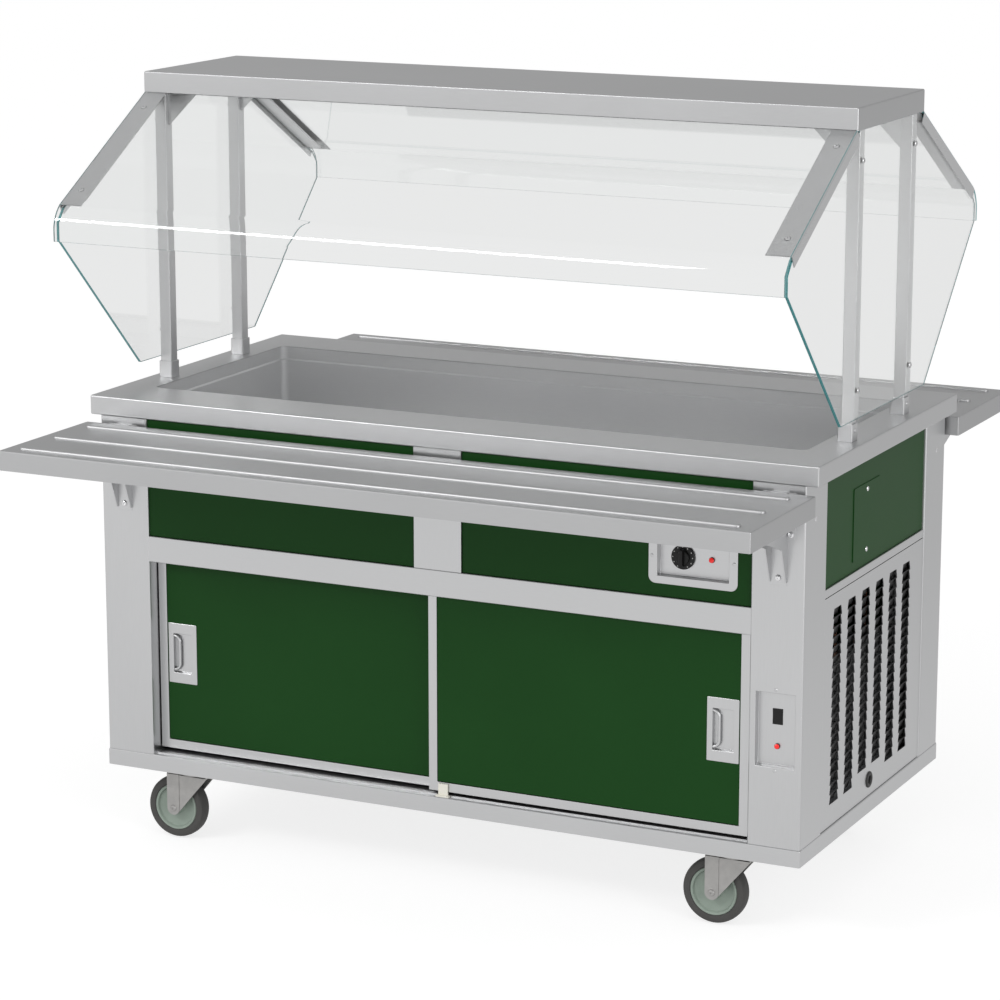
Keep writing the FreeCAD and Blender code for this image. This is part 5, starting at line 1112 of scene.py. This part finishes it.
def down_slope(y, depth):
    """Height of the line that lies a depth under the arms' face, at a distance out from the middle."""
    return SHELF_BOTTOM - (y - SHELF_HALF[1]) * math.tan(ARM_SLOPE) - depth / math.cos(ARM_SLOPE)


def cut_plate(name, points, thickness):
    """A flat plate cut to an outline, and thickened along X."""
    plate = flat_outline(name, points)
    edit_whole(plate)
    bpy.ops.mesh.edge_face_add()
    draw_out((thickness, 0, 0))
    close_up(plate)
    return plate


def edge_in_green(pane, rim_test):
    """Gives the pane its glass, and its narrow edge faces the edge's material."""
    take(pane)
    bpy.ops.object.shade_smooth_by_angle(angle=math.radians(20))
    pane.data.materials.clear()
    pane.data.materials.append(clear_glass.material)
    pane.data.materials.append(glass_edge.material)
    for face in pane.data.polygons:
        face.material_index = 1 if rim_test(face) else 0


top_y = SHELF_HALF[1] + (SHELF_BOTTOM - GLASS_TOP - UNDER_ARM / math.cos(ARM_SLOPE)) / math.tan(ARM_SLOPE)
long_profile = [
    (-GLASS_X, -top_y, GLASS_TOP),
    (-GLASS_X, -GUARD_Y, down_slope(GUARD_Y, UNDER_ARM)),
    (-GLASS_X, -GUARD_Y, HEM_BOTTOM),
]
bend_cut = BEND * math.tan((math.pi / 2 - ARM_SLOPE) / 2)
front_pane = bent_sheet("front_glass_pane", long_profile, (GLASS_X * 2, 0, 0), GLASS, bend_cut, 14, -1)
edge_in_green(
    front_pane,
    lambda face: abs(face.normal.x) > 0.9
    or face.center.z < HEM_BOTTOM + 0.001
    or face.center.z > GLASS_TOP - 0.004,
)
rear_pane = mirrored(front_pane, "rear_glass_pane", flip_y=True)
fit_glass = [(front_pane, "front_glass"), (rear_pane, "rear_glass")]

bend_y = GUARD_Y - GLASS - 0.001
end_points = [
    (GLASS_X - GLASS, -END_FOOT[0], END_FOOT[1]),
    (GLASS_X - GLASS, END_FOOT[0], END_FOOT[1]),
    (GLASS_X - GLASS, bend_y, HEM_BOTTOM),
    (GLASS_X - GLASS, bend_y, down_slope(bend_y, UNDER_ARM + GLASS) - 0.014),
    (GLASS_X - GLASS, bend_y - 0.020, down_slope(bend_y - 0.020, UNDER_ARM + GLASS) - 0.001),
    (GLASS_X - GLASS, top_y - 0.011, GLASS_TOP),
    (GLASS_X - GLASS, 0.011 - top_y, GLASS_TOP),
    (GLASS_X - GLASS, 0.020 - bend_y, down_slope(bend_y - 0.020, UNDER_ARM + GLASS) - 0.001),
    (GLASS_X - GLASS, -bend_y, down_slope(bend_y, UNDER_ARM + GLASS) - 0.014),
    (GLASS_X - GLASS, -bend_y, HEM_BOTTOM),
]
end_pane = cut_plate("right_end_glass_pane", end_points, GLASS)
soften(end_pane, 0.0005, 1)
edge_in_green(end_pane, lambda face: abs(face.normal.x) < 0.9)
fit_glass += [
    (end_pane, "right_end_glass"),
    (mirrored(end_pane, "left_end_glass_pane", flip_x=True), "left_end_glass"),
]
for pane, label in fit_glass:
    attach(pane, "cabinet")
    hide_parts(label)


# ---- glass arms and clamps ----
# Each arm is folded to an angle and slopes from the shelf's corner down over the end of a long pane.
# Two screws pull a flat strip up under the glass, and two more hold each end pane to a post.
ARM_INNER = 0.697
ARM_OUTER = 0.747
ARM_FLANGE = 0.023
ARM_END = 0.4946
ARM_SHEET = 0.002
STRIP = (0.706, 0.738)
STRIP_THICK = 0.003
SCREW_X = 0.722
SCREW_INSET = 0.048
END_SCREWS = (1.425, 1.003)

slope = Vector((0, -math.cos(ARM_SLOPE), -math.sin(ARM_SLOPE)))
out = Vector((0, -math.sin(ARM_SLOPE), math.cos(ARM_SLOPE)))
arm_length = (ARM_END - SHELF_HALF[1]) / math.cos(ARM_SLOPE)
arm_top = Vector((0, -SHELF_HALF[1], SHELF_BOTTOM - 0.0005))
across = Vector((1, 0, 0))
fold = arm_top + across * ARM_OUTER
arm = bent_sheet(
    "arm_angle",
    [arm_top + across * ARM_INNER, fold, fold - out * ARM_FLANGE],
    slope * arm_length,
    ARM_SHEET,
    0.0025,
    4,
    -1,
)
strip_start = arm_top + slope * 0.022 - out * (UNDER_ARM + GLASS + 0.0003)
strip = bent_sheet(
    "arm_strip",
    [strip_start + across * STRIP[0], strip_start + across * STRIP[1]],
    slope * (arm_length - 0.05),
    STRIP_THICK,
    0.001,
    1,
    -1,
)
arm_parts = [arm, strip]
for along in (SCREW_INSET, arm_length - SCREW_INSET):
    place = arm_top + across * SCREW_X + slope * along
    arm_parts.append(screw_head(f"arm_screw_{along:.2f}", place, out, 0.006, 0.003))
for height in END_SCREWS:
    place = (GLASS_X, -POST_Y, height)
    arm_parts.append(screw_head(f"pane_screw_{height:.2f}", place, (1, 0, 0), 0.0055, 0.0025))
first_arm = weld("glass_arm_1", arm_parts)
arm_steel = brushed("brushed_steel_arm", (0, 1, 0), 0.62, 0.30)
stands_for = ["glass_arms", "glass_clamps"]
for piece in on_four_corners(first_arm, "glass_arm"):
    fit(piece, "cabinet", arm_steel, *stands_for)
    stands_for = []


# ---- tray slides ----
# A shelf along each long side for the customer's tray: one folded sheet with its edges turned down, and
# three raised ribs pressed along it so that a tray slides easily.
SLIDE_NEAR = 0.394
SLIDE_FAR = 0.704
SLIDE_TOP = 0.858
SLIDE_EDGE = 0.038
RIB_WIDTH = 0.016
RIB_HEIGHT = 0.005
RIB_END = 0.731
RIBS = (0.443, 0.558, 0.673)

slide = folded_tray(
    "front_slide_sheet",
    (-COUNTER_HALF[0], -SLIDE_FAR, SLIDE_TOP - SLIDE_EDGE),
    (COUNTER_HALF[0], -SLIDE_NEAR, SLIDE_TOP),
    (0, 0, -1),
    SHEET,
    0.003,
)
slide_parts = [slide]
for y in RIBS:
    rib = block(
        f"rib_{y}",
        (-RIB_END, -y - RIB_WIDTH / 2, SLIDE_TOP - 0.001),
        (RIB_END, -y + RIB_WIDTH / 2, SLIDE_TOP + RIB_HEIGHT),
    )
    round_edges(rib, upright, RIB_WIDTH * 0.45, 6)
    pick_faces(rib, lambda middle, normal: normal.z > 0.9)
    bpy.ops.mesh.region_to_loop()
    bpy.ops.mesh.bevel(offset=0.0042, segments=4, affect="EDGES")
    done_editing()
    slide_parts.append(rib)
front_slide = weld("front_slide_sheet", slide_parts)
rear_slide = mirrored(front_slide, "rear_slide_sheet", flip_y=True)
# A darker copy of the stainless: painted shade that tones down the slides' reflection of the counter's
# bright front edge.
slide_steel_painted_shade = brushed("brushed_steel_slide_painted_shade", (1, 0, 0), 0.50, 0.42)
fit(front_slide, "cabinet", slide_steel_painted_shade, "front_tray_slide")
fit(rear_slide, "cabinet", slide_steel_painted_shade, "rear_tray_slide")


# ---- tray brackets ----
# Each bracket is folded from sheet: a back plate with an ear, two webs that taper to its foot, and a
# top plate under the slide. Two domed screws hold it to the corner post.
BRACKET_X = 0.688
BRACKET_HALF = 0.017
BRACKET_SHEET = 0.003
BRACKET_TOP = 0.856
BRACKET_BOTTOM = 0.684
BRACKET_REACH = 0.270
EAR_HALF = 0.032
EAR_BOTTOM = 0.770
BRACKET_SCREWS = ((0.688, 0.698), (0.711, 0.779))

back_face = -HALF_DEPTH - BRACKET_SHEET
bracket_parts = [
    block(
        "bracket_back",
        (BRACKET_X - BRACKET_HALF, back_face, BRACKET_BOTTOM),
        (BRACKET_X + BRACKET_HALF, -HALF_DEPTH, BRACKET_TOP),
    ),
    block(
        "bracket_ear",
        (BRACKET_X - EAR_HALF, back_face, EAR_BOTTOM),
        (BRACKET_X + EAR_HALF, -HALF_DEPTH, BRACKET_TOP),
    ),
    block(
        "bracket_top",
        (BRACKET_X - BRACKET_HALF, -HALF_DEPTH - BRACKET_REACH, BRACKET_TOP - BRACKET_SHEET),
        (BRACKET_X + BRACKET_HALF, back_face, BRACKET_TOP),
    ),
]
for left in (BRACKET_X - BRACKET_HALF, BRACKET_X + BRACKET_HALF - BRACKET_SHEET):
    web = cut_plate(
        f"bracket_web_{left:.3f}",
        [
            (left, back_face, BRACKET_BOTTOM + 0.006),
            (left, back_face, BRACKET_TOP),
            (left, -HALF_DEPTH - BRACKET_REACH, BRACKET_TOP),
            (left, -HALF_DEPTH - BRACKET_REACH, BRACKET_TOP - 0.016),
            (left, -HALF_DEPTH - 0.031, BRACKET_BOTTOM + 0.072),
            (left, back_face - BRACKET_SHEET, BRACKET_BOTTOM + 0.006),
        ],
        BRACKET_SHEET,
    )
    bracket_parts.append(web)
for part in bracket_parts:
    soften(part, 0.0007, 2)
first_bracket = weld("tray_bracket_1", bracket_parts)
screws = [
    screw_head(f"bracket_screw_{z}", (x, back_face, z), (0, -1, 0), 0.006, 0.0032)
    for x, z in BRACKET_SCREWS
]
screws.append(screw_head("post_side_screw", (HALF_LENGTH, -0.331, 0.801), (1, 0, 0), 0.006, 0.0025))
first_screws = weld("bracket_screws_1", screws)
for index, (flip_x, flip_y) in enumerate(((False, False), (True, False), (False, True), (True, True))):
    if index:
        bracket = mirrored(first_bracket, f"tray_bracket_{index + 1}", flip_x, flip_y)
        screws = mirrored(first_screws, f"bracket_screws_{index + 1}", flip_x, flip_y)
    else:
        bracket, screws = first_bracket, first_screws
    fit(bracket, "cabinet", steel_upright, "tray_brackets")
    fit(screws, "cabinet", bright.material)


# ---- sliding doors ----
# Two green trays in stainless frames, hung from glides in a twin track. Each has a flush stainless pull
# near its outer end, with a round bar bowed out of a pressed cup.
DOOR_LOW = 0.199
DOOR_HIGH = 0.604
DOOR_DEPTH = 0.016
STILE = 0.018
PULL_X = 0.581
PULL_Z = 0.396
PULL_HALF = (0.032, 0.061)
CUP_HALF = (0.0205, 0.040)
CUP_DEPTH = 0.009
BOW_RADIUS = 0.003
BOW_REACH = 0.0125
BOW_TURN = math.pi / 2
BOW_HALF = 0.0345
BOW_STAND = 0.0045


def recessed_plate(name, low, high, corner, opening, depth):
    """A plate facing the front with a box pressed into it: inset, pushed back, thickened to sheet."""
    plate = block(name, low, high)
    half = [(b - a) / 2 for a, b in zip(low, high)]
    middle_x = (low[0] + high[0]) / 2
    open_faces(plate, lambda middle, normal: normal.y > 0.9)
    pick_faces(plate, lambda middle, normal: normal.y < -0.9)
    inset = half[0] - opening[0]
    bpy.ops.mesh.inset(thickness=inset)
    bpy.ops.transform.resize(value=(1, 1, opening[1] / (half[2] - inset)))
    draw_out((0, depth, 0))
    bpy.ops.transform.resize(value=(0.985, 1, 0.985))
    done_editing()
    round_edges(
        plate,
        lambda a, b: abs(a.x - b.x) < 1e-6
        and abs(a.z - b.z) < 1e-6
        and abs(a.x - middle_x) > half[0] - 1e-5,
        corner,
        8,
    )
    soften(plate, 0.0011, 3, 50)
    modify(plate, "SOLIDIFY", thickness=0.0010, offset=-1)
    return plate


for side, near_x, far_x, door_face in (("right", -0.024, 0.633, -0.371), ("left", -0.633, 0.024, -0.351)):
    body = f"{side}_door"
    frame_box = block(
        f"{side}_door_stiles", (near_x, door_face, DOOR_LOW), (far_x, door_face + DOOR_DEPTH, DOOR_HIGH)
    )
    pick_faces(frame_box, lambda middle, normal: abs(normal.y) > 0.9)
    bpy.ops.mesh.inset(thickness=STILE)
    bpy.ops.mesh.bridge_edge_loops()
    done_editing()
    close_up(frame_box)
    soften(frame_box, 0.0010, 2)
    hangers = [frame_box]
    for hanger_x in (near_x + 0.09, far_x - 0.09):
        hanger = block(
            f"{side}_hanger_{hanger_x:.2f}",
            (hanger_x - 0.018, door_face + 0.0065, DOOR_HIGH - 0.002),
            (hanger_x + 0.018, door_face + 0.0095, DOOR_HIGH + 0.017),
        )
        soften(hanger, 0.0008, 2)
        hangers.append(hanger)
    stiles = weld(f"{side}_door_stiles", hangers)
    fit(stiles, body, steel_upright, f"{side}_door_frame")

    pull_x = PULL_X if side == "right" else -PULL_X
    plate_face = door_face + 0.0005
    pull = recessed_plate(
        f"{side}_pull_cup",
        (pull_x - PULL_HALF[0], plate_face, PULL_Z - PULL_HALF[1]),
        (pull_x + PULL_HALF[0], plate_face + 0.0014, PULL_Z + PULL_HALF[1]),
        0.002,
        CUP_HALF,
        CUP_DEPTH,
    )
    bow_y = plate_face + BOW_STAND
    cup_left = pull_x - CUP_HALF[0] - 0.0005
    start_fresh()
    bpy.ops.mesh.primitive_circle_add(
        vertices=16,
        radius=BOW_RADIUS,
        fill_type="NGON",
        location=(cup_left, bow_y, PULL_Z - BOW_HALF),
        rotation=(0, math.pi / 2, 0),
    )
    bow = named(f"{side}_pull_bow")
    edit_whole(bow)
    straight = BOW_HALF - BOW_REACH
    lower, upper = (cup_left, bow_y, PULL_Z - straight), (cup_left, bow_y, PULL_Z + straight)
    bpy.ops.mesh.spin(steps=8, angle=BOW_TURN, center=lower, axis=(0, 1, 0))
    draw_out((0, 0, straight * 2))
    bpy.ops.mesh.spin(steps=8, angle=BOW_TURN, center=upper, axis=(0, 1, 0))
    close_up(bow)
    cup = weld(f"{side}_pull_cup", [pull, bow])
    fit(cup, body, steel_upright, f"{side}_door_pull")


# ---- thermostat ----
# A stainless bezel with rounded corners is screwed over a hole in the green panel. Its pressed box
# holds the black knob, whose skirt is marked with white dots, and a red pilot light.
BEZEL_HALF = (0.088, 0.0515)
BEZEL_FACE = -0.377
KNOB_X = 0.496
KNOB_RADIUS = 0.023
KNOB_FACE = -0.3805
RECESS_BACK = -0.363
PILOT_X = 0.552
PILOT_RADIUS = 0.0055
BEZEL_SCREWS = (0.439, 0.601)

bezel = recessed_plate(
    "thermostat_bezel",
    (BEZEL[0] - BEZEL_HALF[0], BEZEL_FACE, BEZEL[1] - BEZEL_HALF[1]),
    (BEZEL[0] + BEZEL_HALF[0], BEZEL_FACE + 0.0015, BEZEL[1] + BEZEL_HALF[1]),
    0.014,
    RECESS_HALF,
    0.0135,
)
sensor_box = block(
    "thermostat_case",
    (KNOB_X - 0.022, RECESS_BACK + 0.001, BEZEL[1] - 0.022),
    (KNOB_X + 0.022, -0.336, BEZEL[1] + 0.022),
)
soften(sensor_box, 0.002, 2)
bezel_parts = [bezel, sensor_box]
for x in BEZEL_SCREWS:
    place = (x, BEZEL_FACE, BEZEL[1])
    bezel_parts.append(screw_head(f"bezel_screw_{x}", place, (0, -1, 0), 0.0035, 0.001))
housing = weld("thermostat_bezel", bezel_parts)
fit(housing, "cabinet", steel_along, "thermostat_housing")

black_plastic = Finish("black_plastic", (0.006, 0.006, 0.006), 0.30, Specular_IOR_Level=0.3)
texture = black_plastic.noise(700.0, 2.0)
black_plastic.vary(texture, (0.004, 0.004, 0.004), (0.009, 0.009, 0.009), 0.28, 0.14, 0.00003)
dot_paint = Finish("dial_paint", (0.72, 0.72, 0.70), 0.5)
worn = dot_paint.noise(800.0, 2.0)
dot_paint.vary(worn, (0.62, 0.62, 0.60), (0.80, 0.80, 0.78), 0.4, 0.2, 0.00001)

SKIRT_FACE = -0.3680
skirt = turned(
    "knob_skirt",
    (KNOB_X, 0, BEZEL[1]),
    [
        (0, RECESS_BACK + 0.002),
        (KNOB_RADIUS - 0.0005, RECESS_BACK - 0.0005),
        (KNOB_RADIUS, RECESS_BACK - 0.001),
        (KNOB_RADIUS, SKIRT_FACE + 0.001),
        (KNOB_RADIUS - 0.001, SKIRT_FACE),
        (0, SKIRT_FACE),
    ],
    (0, 1, 0),
    64,
)
grip = block(
    "knob_grip",
    (KNOB_X - 0.005, KNOB_FACE, BEZEL[1] - 0.017),
    (KNOB_X + 0.005, SKIRT_FACE + 0.0005, BEZEL[1] + 0.017),
)
pick_faces(grip, lambda middle, normal: normal.y < -0.9)
bpy.ops.transform.resize(value=(0.7, 1, 0.92))
done_editing()
soften(grip, 0.0018, 4)
boss = turned(
    "knob_boss",
    (KNOB_X, 0, BEZEL[1]),
    [
        (0, SKIRT_FACE + 0.0005),
        (0.014, SKIRT_FACE + 0.0005),
        (0.0135, SKIRT_FACE - 0.004),
        (0.012, SKIRT_FACE - 0.005),
        (0, SKIRT_FACE - 0.005),
    ],
    (0, 1, 0),
    48,
)
knob = weld("knob_skirt", [skirt, grip, boss])
fit(knob, "thermostat_dial", black_plastic.material, "thermostat_knob")
dot_line = [(0, -0.0001), (0.0009, -0.0001), (0.0011, 0.0001), (0, 0.0001)]
dots = []
for index in range(11):
    angle = math.radians(-60 + index * 30)
    spot = (KNOB_X + math.cos(angle) * 0.0195, SKIRT_FACE + 0.00005, BEZEL[1] + math.sin(angle) * 0.0195)
    dots.append(turned(f"dial_dot_{index}", spot, dot_line, (0, 1, 0), 12))
fit(weld("dial_dots", dots), "thermostat_dial", dot_paint.material)

lamp_glow = {"Emission_Color": (1.0, 0.02, 0.015, 1.0), "Emission_Strength": 0.35}
red_lens = Finish("red_lens", (0.62, 0.012, 0.010), 0.12, **lamp_glow)
facets = red_lens.noise(500.0, 2.0)
red_lens.vary(facets, (0.50, 0.008, 0.006), (0.74, 0.020, 0.016), 0.08, 0.1, 0.00003)


def pilot(name, x, z, back):
    """A small red lens in a black ring."""
    lens = turned(
        name,
        (x, back, z),
        [(0, 0.0065), (0.0022, 0.0062), (0.0042, 0.005), (0.0048, 0.003), (0.0048, 0), (0, 0)],
        (0, -1, 0),
        32,
    )
    ring = turned(
        f"{name}_ring",
        (x, back, z),
        [(0.0048, 0), (0.0048, 0.0022), (PILOT_RADIUS, 0.0016), (PILOT_RADIUS, 0), (0.0048, 0)],
        (0, -1, 0),
        32,
    )
    return lens, ring


# ---- switch ----
# The on/off rocker sits with its pilot light in a second pressed box, in a tall plate screwed to the
# right post.
SWITCH_HALF = (0.049, 0.081)
SWITCH_FACE = -0.381
SWITCH_RECESS = (0.0385, 0.070)
ROCKER_Z = 0.435
ROCKER_FACE = -0.369
PILOT_Z = 0.379

switch_plate = recessed_plate(
    "switch_plate_sheet",
    (switch_x - SWITCH_HALF[0], SWITCH_FACE, SWITCH_Z - SWITCH_HALF[1]),
    (switch_x + SWITCH_HALF[0], SWITCH_FACE + 0.0015, SWITCH_Z + SWITCH_HALF[1]),
    0.002,
    SWITCH_RECESS,
    0.0135,
)
switch_parts = [switch_plate]
for z in (0.4885, 0.3355):
    place = (switch_x, SWITCH_FACE, z)
    switch_parts.append(screw_head(f"plate_screw_{z}", place, (0, -1, 0), 0.0032, 0.001))
housing = weld("switch_plate_sheet", switch_parts)
fit(housing, "cabinet", steel_upright, "switch_housing")
rocker = block(
    "rocker_cap",
    (switch_x - 0.010, ROCKER_FACE, ROCKER_Z - 0.015),
    (switch_x + 0.010, ROCKER_FACE + 0.008, ROCKER_Z + 0.015),
)
pick_faces(rocker, lambda middle, normal: True)
bpy.ops.mesh.bisect(plane_co=(0, 0, ROCKER_Z), plane_no=(0, 0, 1))
done_editing()
pick_edges(
    rocker,
    lambda a, b: max(abs(a.z - ROCKER_Z), abs(b.z - ROCKER_Z)) < 1e-5
    and max(a.y, b.y) < ROCKER_FACE + 0.001,
)
bpy.ops.transform.translate(value=(0, 0.0008, 0))
done_editing()
soften(rocker, 0.0008, 3, 40)
fit(rocker, "rocker", black_plastic.material, "switch_rocker")
lens_a, ring_a = pilot("thermostat_pilot", PILOT_X, BEZEL[1], RECESS_BACK - 0.0005)
lens_b, ring_b = pilot("switch_pilot", switch_x, PILOT_Z, SWITCH_FACE + 0.0135)
lenses = weld("pilot_lenses", [lens_a, lens_b])
fit(lenses, "cabinet", red_lens.material, "pilot_lights")
fit(weld("pilot_rings", [ring_a, ring_b]), "cabinet", black_plastic.material)


# ---- brackets, tracks and door guide ----
# Folded brackets screwed to the posts carry the tray slides. The doors run in a folded twin track at
# their top and between a nylon guide and the rail at their foot.
cream_nylon = Finish("cream_nylon", (0.78, 0.76, 0.68), 0.38)
flow = cream_nylon.noise(90.0, 2.0)
cream_nylon.vary(flow, (0.74, 0.72, 0.63), (0.82, 0.80, 0.73), 0.32, 0.12, 0.00004)


def dress(label, material, edge=0.0):
    """Gives a CAD node its material, and rounds its edges a little."""
    piece = bpy.data.objects[label]
    piece.data.materials.clear()
    piece.data.materials.append(material)
    if edge:
        modifier = piece.modifiers.new("rounded edges", "BEVEL")
        modifier.width = edge
        modifier.segments = 2
        modifier.limit_method = "ANGLE"
        modifier.angle_limit = math.radians(40)


galvanised = Finish("galvanised_sheet", (0.52, 0.53, 0.54), 0.45, metallic=0.9)
cells = {"Vector": galvanised.place, "Scale": 90.0}
spangle = galvanised.node("ShaderNodeTexVoronoi", {}, cells, output="Color")
grey = galvanised.node("ShaderNodeRGBToBW", {}, {0: spangle})
galvanised.vary(grey, (0.44, 0.45, 0.46), (0.60, 0.61, 0.62), 0.38, 0.16, 0.00001)
dress("door_tracks", steel_along)
dress("door_guide", cream_nylon.material, 0.0015)
dress("left_door_panel", green_coat.material)
dress("right_door_panel", green_coat.material)
dress("caster_plates", zinc.material)


# ---- insulated well case and divider ----
# A galvanised case wraps the foam round the cold well. An upright divider of the same sheet parts the
# storage space from the machine compartment.
foam = Finish("rigid_foam", (0.74, 0.62, 0.36), 0.85)
cells = foam.noise(260.0, 3.0)
foam.vary(cells, (0.66, 0.53, 0.28), (0.82, 0.71, 0.45), 0.78, 0.15, 0.0004)
dress("well_case", galvanised.material)
dress("well_insulation", foam.material)
dress("machine_divider", galvanised.material)


# ---- condensing unit ----
# A sealed compressor, a finned condenser with its fan, and copper lines, all on one base behind the
# louvres.
enamel = Finish("black_enamel", (0.012, 0.012, 0.013), 0.30, Coat_Weight=0.3)
drips, dimples = enamel.noise(30.0, 3.0), enamel.noise(300.0, 2.0)
enamel.vary(drips, (0.009, 0.009, 0.010), (0.020, 0.020, 0.021), 0.25, 0.15, 0.00005, dimples)

aluminium = Finish("mill_aluminium", (0.62, 0.63, 0.64), 0.38, metallic=1.0)
fins = aluminium.noise(1.0, 0.0, (1.0, 520.0, 1.0))
aluminium.vary(fins, (0.40, 0.41, 0.42), (0.72, 0.73, 0.74), 0.30, 0.2, 0.0003)

copper = Finish("copper_line", (0.72, 0.34, 0.20), 0.28, metallic=1.0)
tarnish, drawn = copper.noise(24.0, 3.0), copper.noise(400.0, 2.0)
copper.vary(tarnish, (0.46, 0.20, 0.12), (0.80, 0.40, 0.25), 0.22, 0.25, 0.00002, drawn)

dress("condensing_base", galvanised.material, 0.0008)
dress("compressor", enamel.material, 0.0015)
dress("condenser_coil", aluminium.material)
dress("fan_motor", enamel.material, 0.001)
dress("fan_blade", aluminium.material)
dress("refrigerant_tubing", copper.material)


# ---- drain ----
# A nickel-plated ball valve under the well, with a lever that turns a quarter.
nickel = Finish("nickel_plate", (0.60, 0.58, 0.53), 0.22, metallic=1.0)
haze, casting = nickel.noise(45.0, 3.0), nickel.noise(500.0, 2.0)
nickel.vary(haze, (0.52, 0.50, 0.45), (0.68, 0.66, 0.61), 0.16, 0.18, 0.00002, casting)
dress("drain_valve", nickel.material)
dress("drain_lever", steel_along, 0.0008)


# ---- floor and light ----
# A pale floor and a plain white surround, brighter in front than behind, with two wide soft lights.
start_fresh()
bpy.ops.mesh.primitive_plane_add(size=60, location=(0, 0, -0.0005))
floor = named("floor")
pale = Finish("pale_floor", (0.8, 0.8, 0.8), 0.9, Specular_IOR_Level=0.1)
seen = pale.node("ShaderNodeLightPath", output="Is Camera Ray")
through = pale.node("ShaderNodeLightPath", output="Is Transmission Ray")
mirrored_ray = pale.node("ShaderNodeLightPath", output="Is Glossy Ray") * (1 - through)
along = pale.node("ShaderNodeSeparateXYZ", {}, {0: pale.place}, output="Y")
lit = pale.node("ShaderNodeMapRange", {}, {0: along, 1: -3.0, 2: 3.0, 3: 0.98, 4: 0.66})
strength = seen * 1.35 + through * 0.86 + mirrored_ray * lit
glow = pale.node("ShaderNodeEmission", {}, {"Color": (1, 1, 1, 1), "Strength": strength})
mixed = pale.node("ShaderNodeMixShader", {}, {0: seen * 0.55 + through * 0.9 + mirrored_ray * 0.85})
mixer = pale.tree.nodes[-1]
pale.tree.links.new(pale.shader.outputs[0], mixer.inputs[1])
pale.tree.links.new(glow.socket, mixer.inputs[2])
pale.tree.links.new(mixed.socket, pale.tree.nodes["Material Output"].inputs[0])
floor.data.materials.append(pale.material)


class Surround(Finish):
    """The world's own nodes, worked as a material's."""

    def __init__(self, world):
        world.use_nodes = True
        self.tree = world.node_tree
        self.background = self.tree.nodes["Background"]


world = bpy.data.worlds.new("surround")
bpy.context.scene.world = world
air = Surround(world)
seen = air.node("ShaderNodeLightPath", output="Is Camera Ray")
through = air.node("ShaderNodeLightPath", output="Is Transmission Ray")
heading = air.node("ShaderNodeTexCoord", output="Generated")
depth = air.node("ShaderNodeSeparateXYZ", {}, {0: heading}, output="Y")
shade = air.node("ShaderNodeMapRange", {}, {0: depth, 1: -1.0, 2: 1.0, 3: 0.96, 4: 0.47})
air.feed(air.background.inputs["Color"], (1, 1, 1, 1))
air.feed(air.background.inputs["Strength"], seen + through * 0.82 + (1 - seen) * (1 - through) * shade)

for name, place, aim, size, power in (
    ("key_light", (-2.6, -4.2, 3.6), (0, 0, 0.7), (2.6, 0.55), 75),
    ("fill_light", (4.6, -2.4, 2.2), (0, 0, 0.7), (2.0, 3.0), 60),
):
    lamp_data = bpy.data.lights.new(name, "AREA")
    lamp_data.shape = "RECTANGLE"
    lamp_data.size, lamp_data.size_y = size
    lamp_data.energy = power
    lamp = bpy.data.objects.new(name, lamp_data)
    lamp.location = place
    lamp.rotation_euler = (Vector(aim) - Vector(place)).to_track_quat("-Z", "Y").to_euler()
    bpy.context.scene.collection.objects.link(lamp)
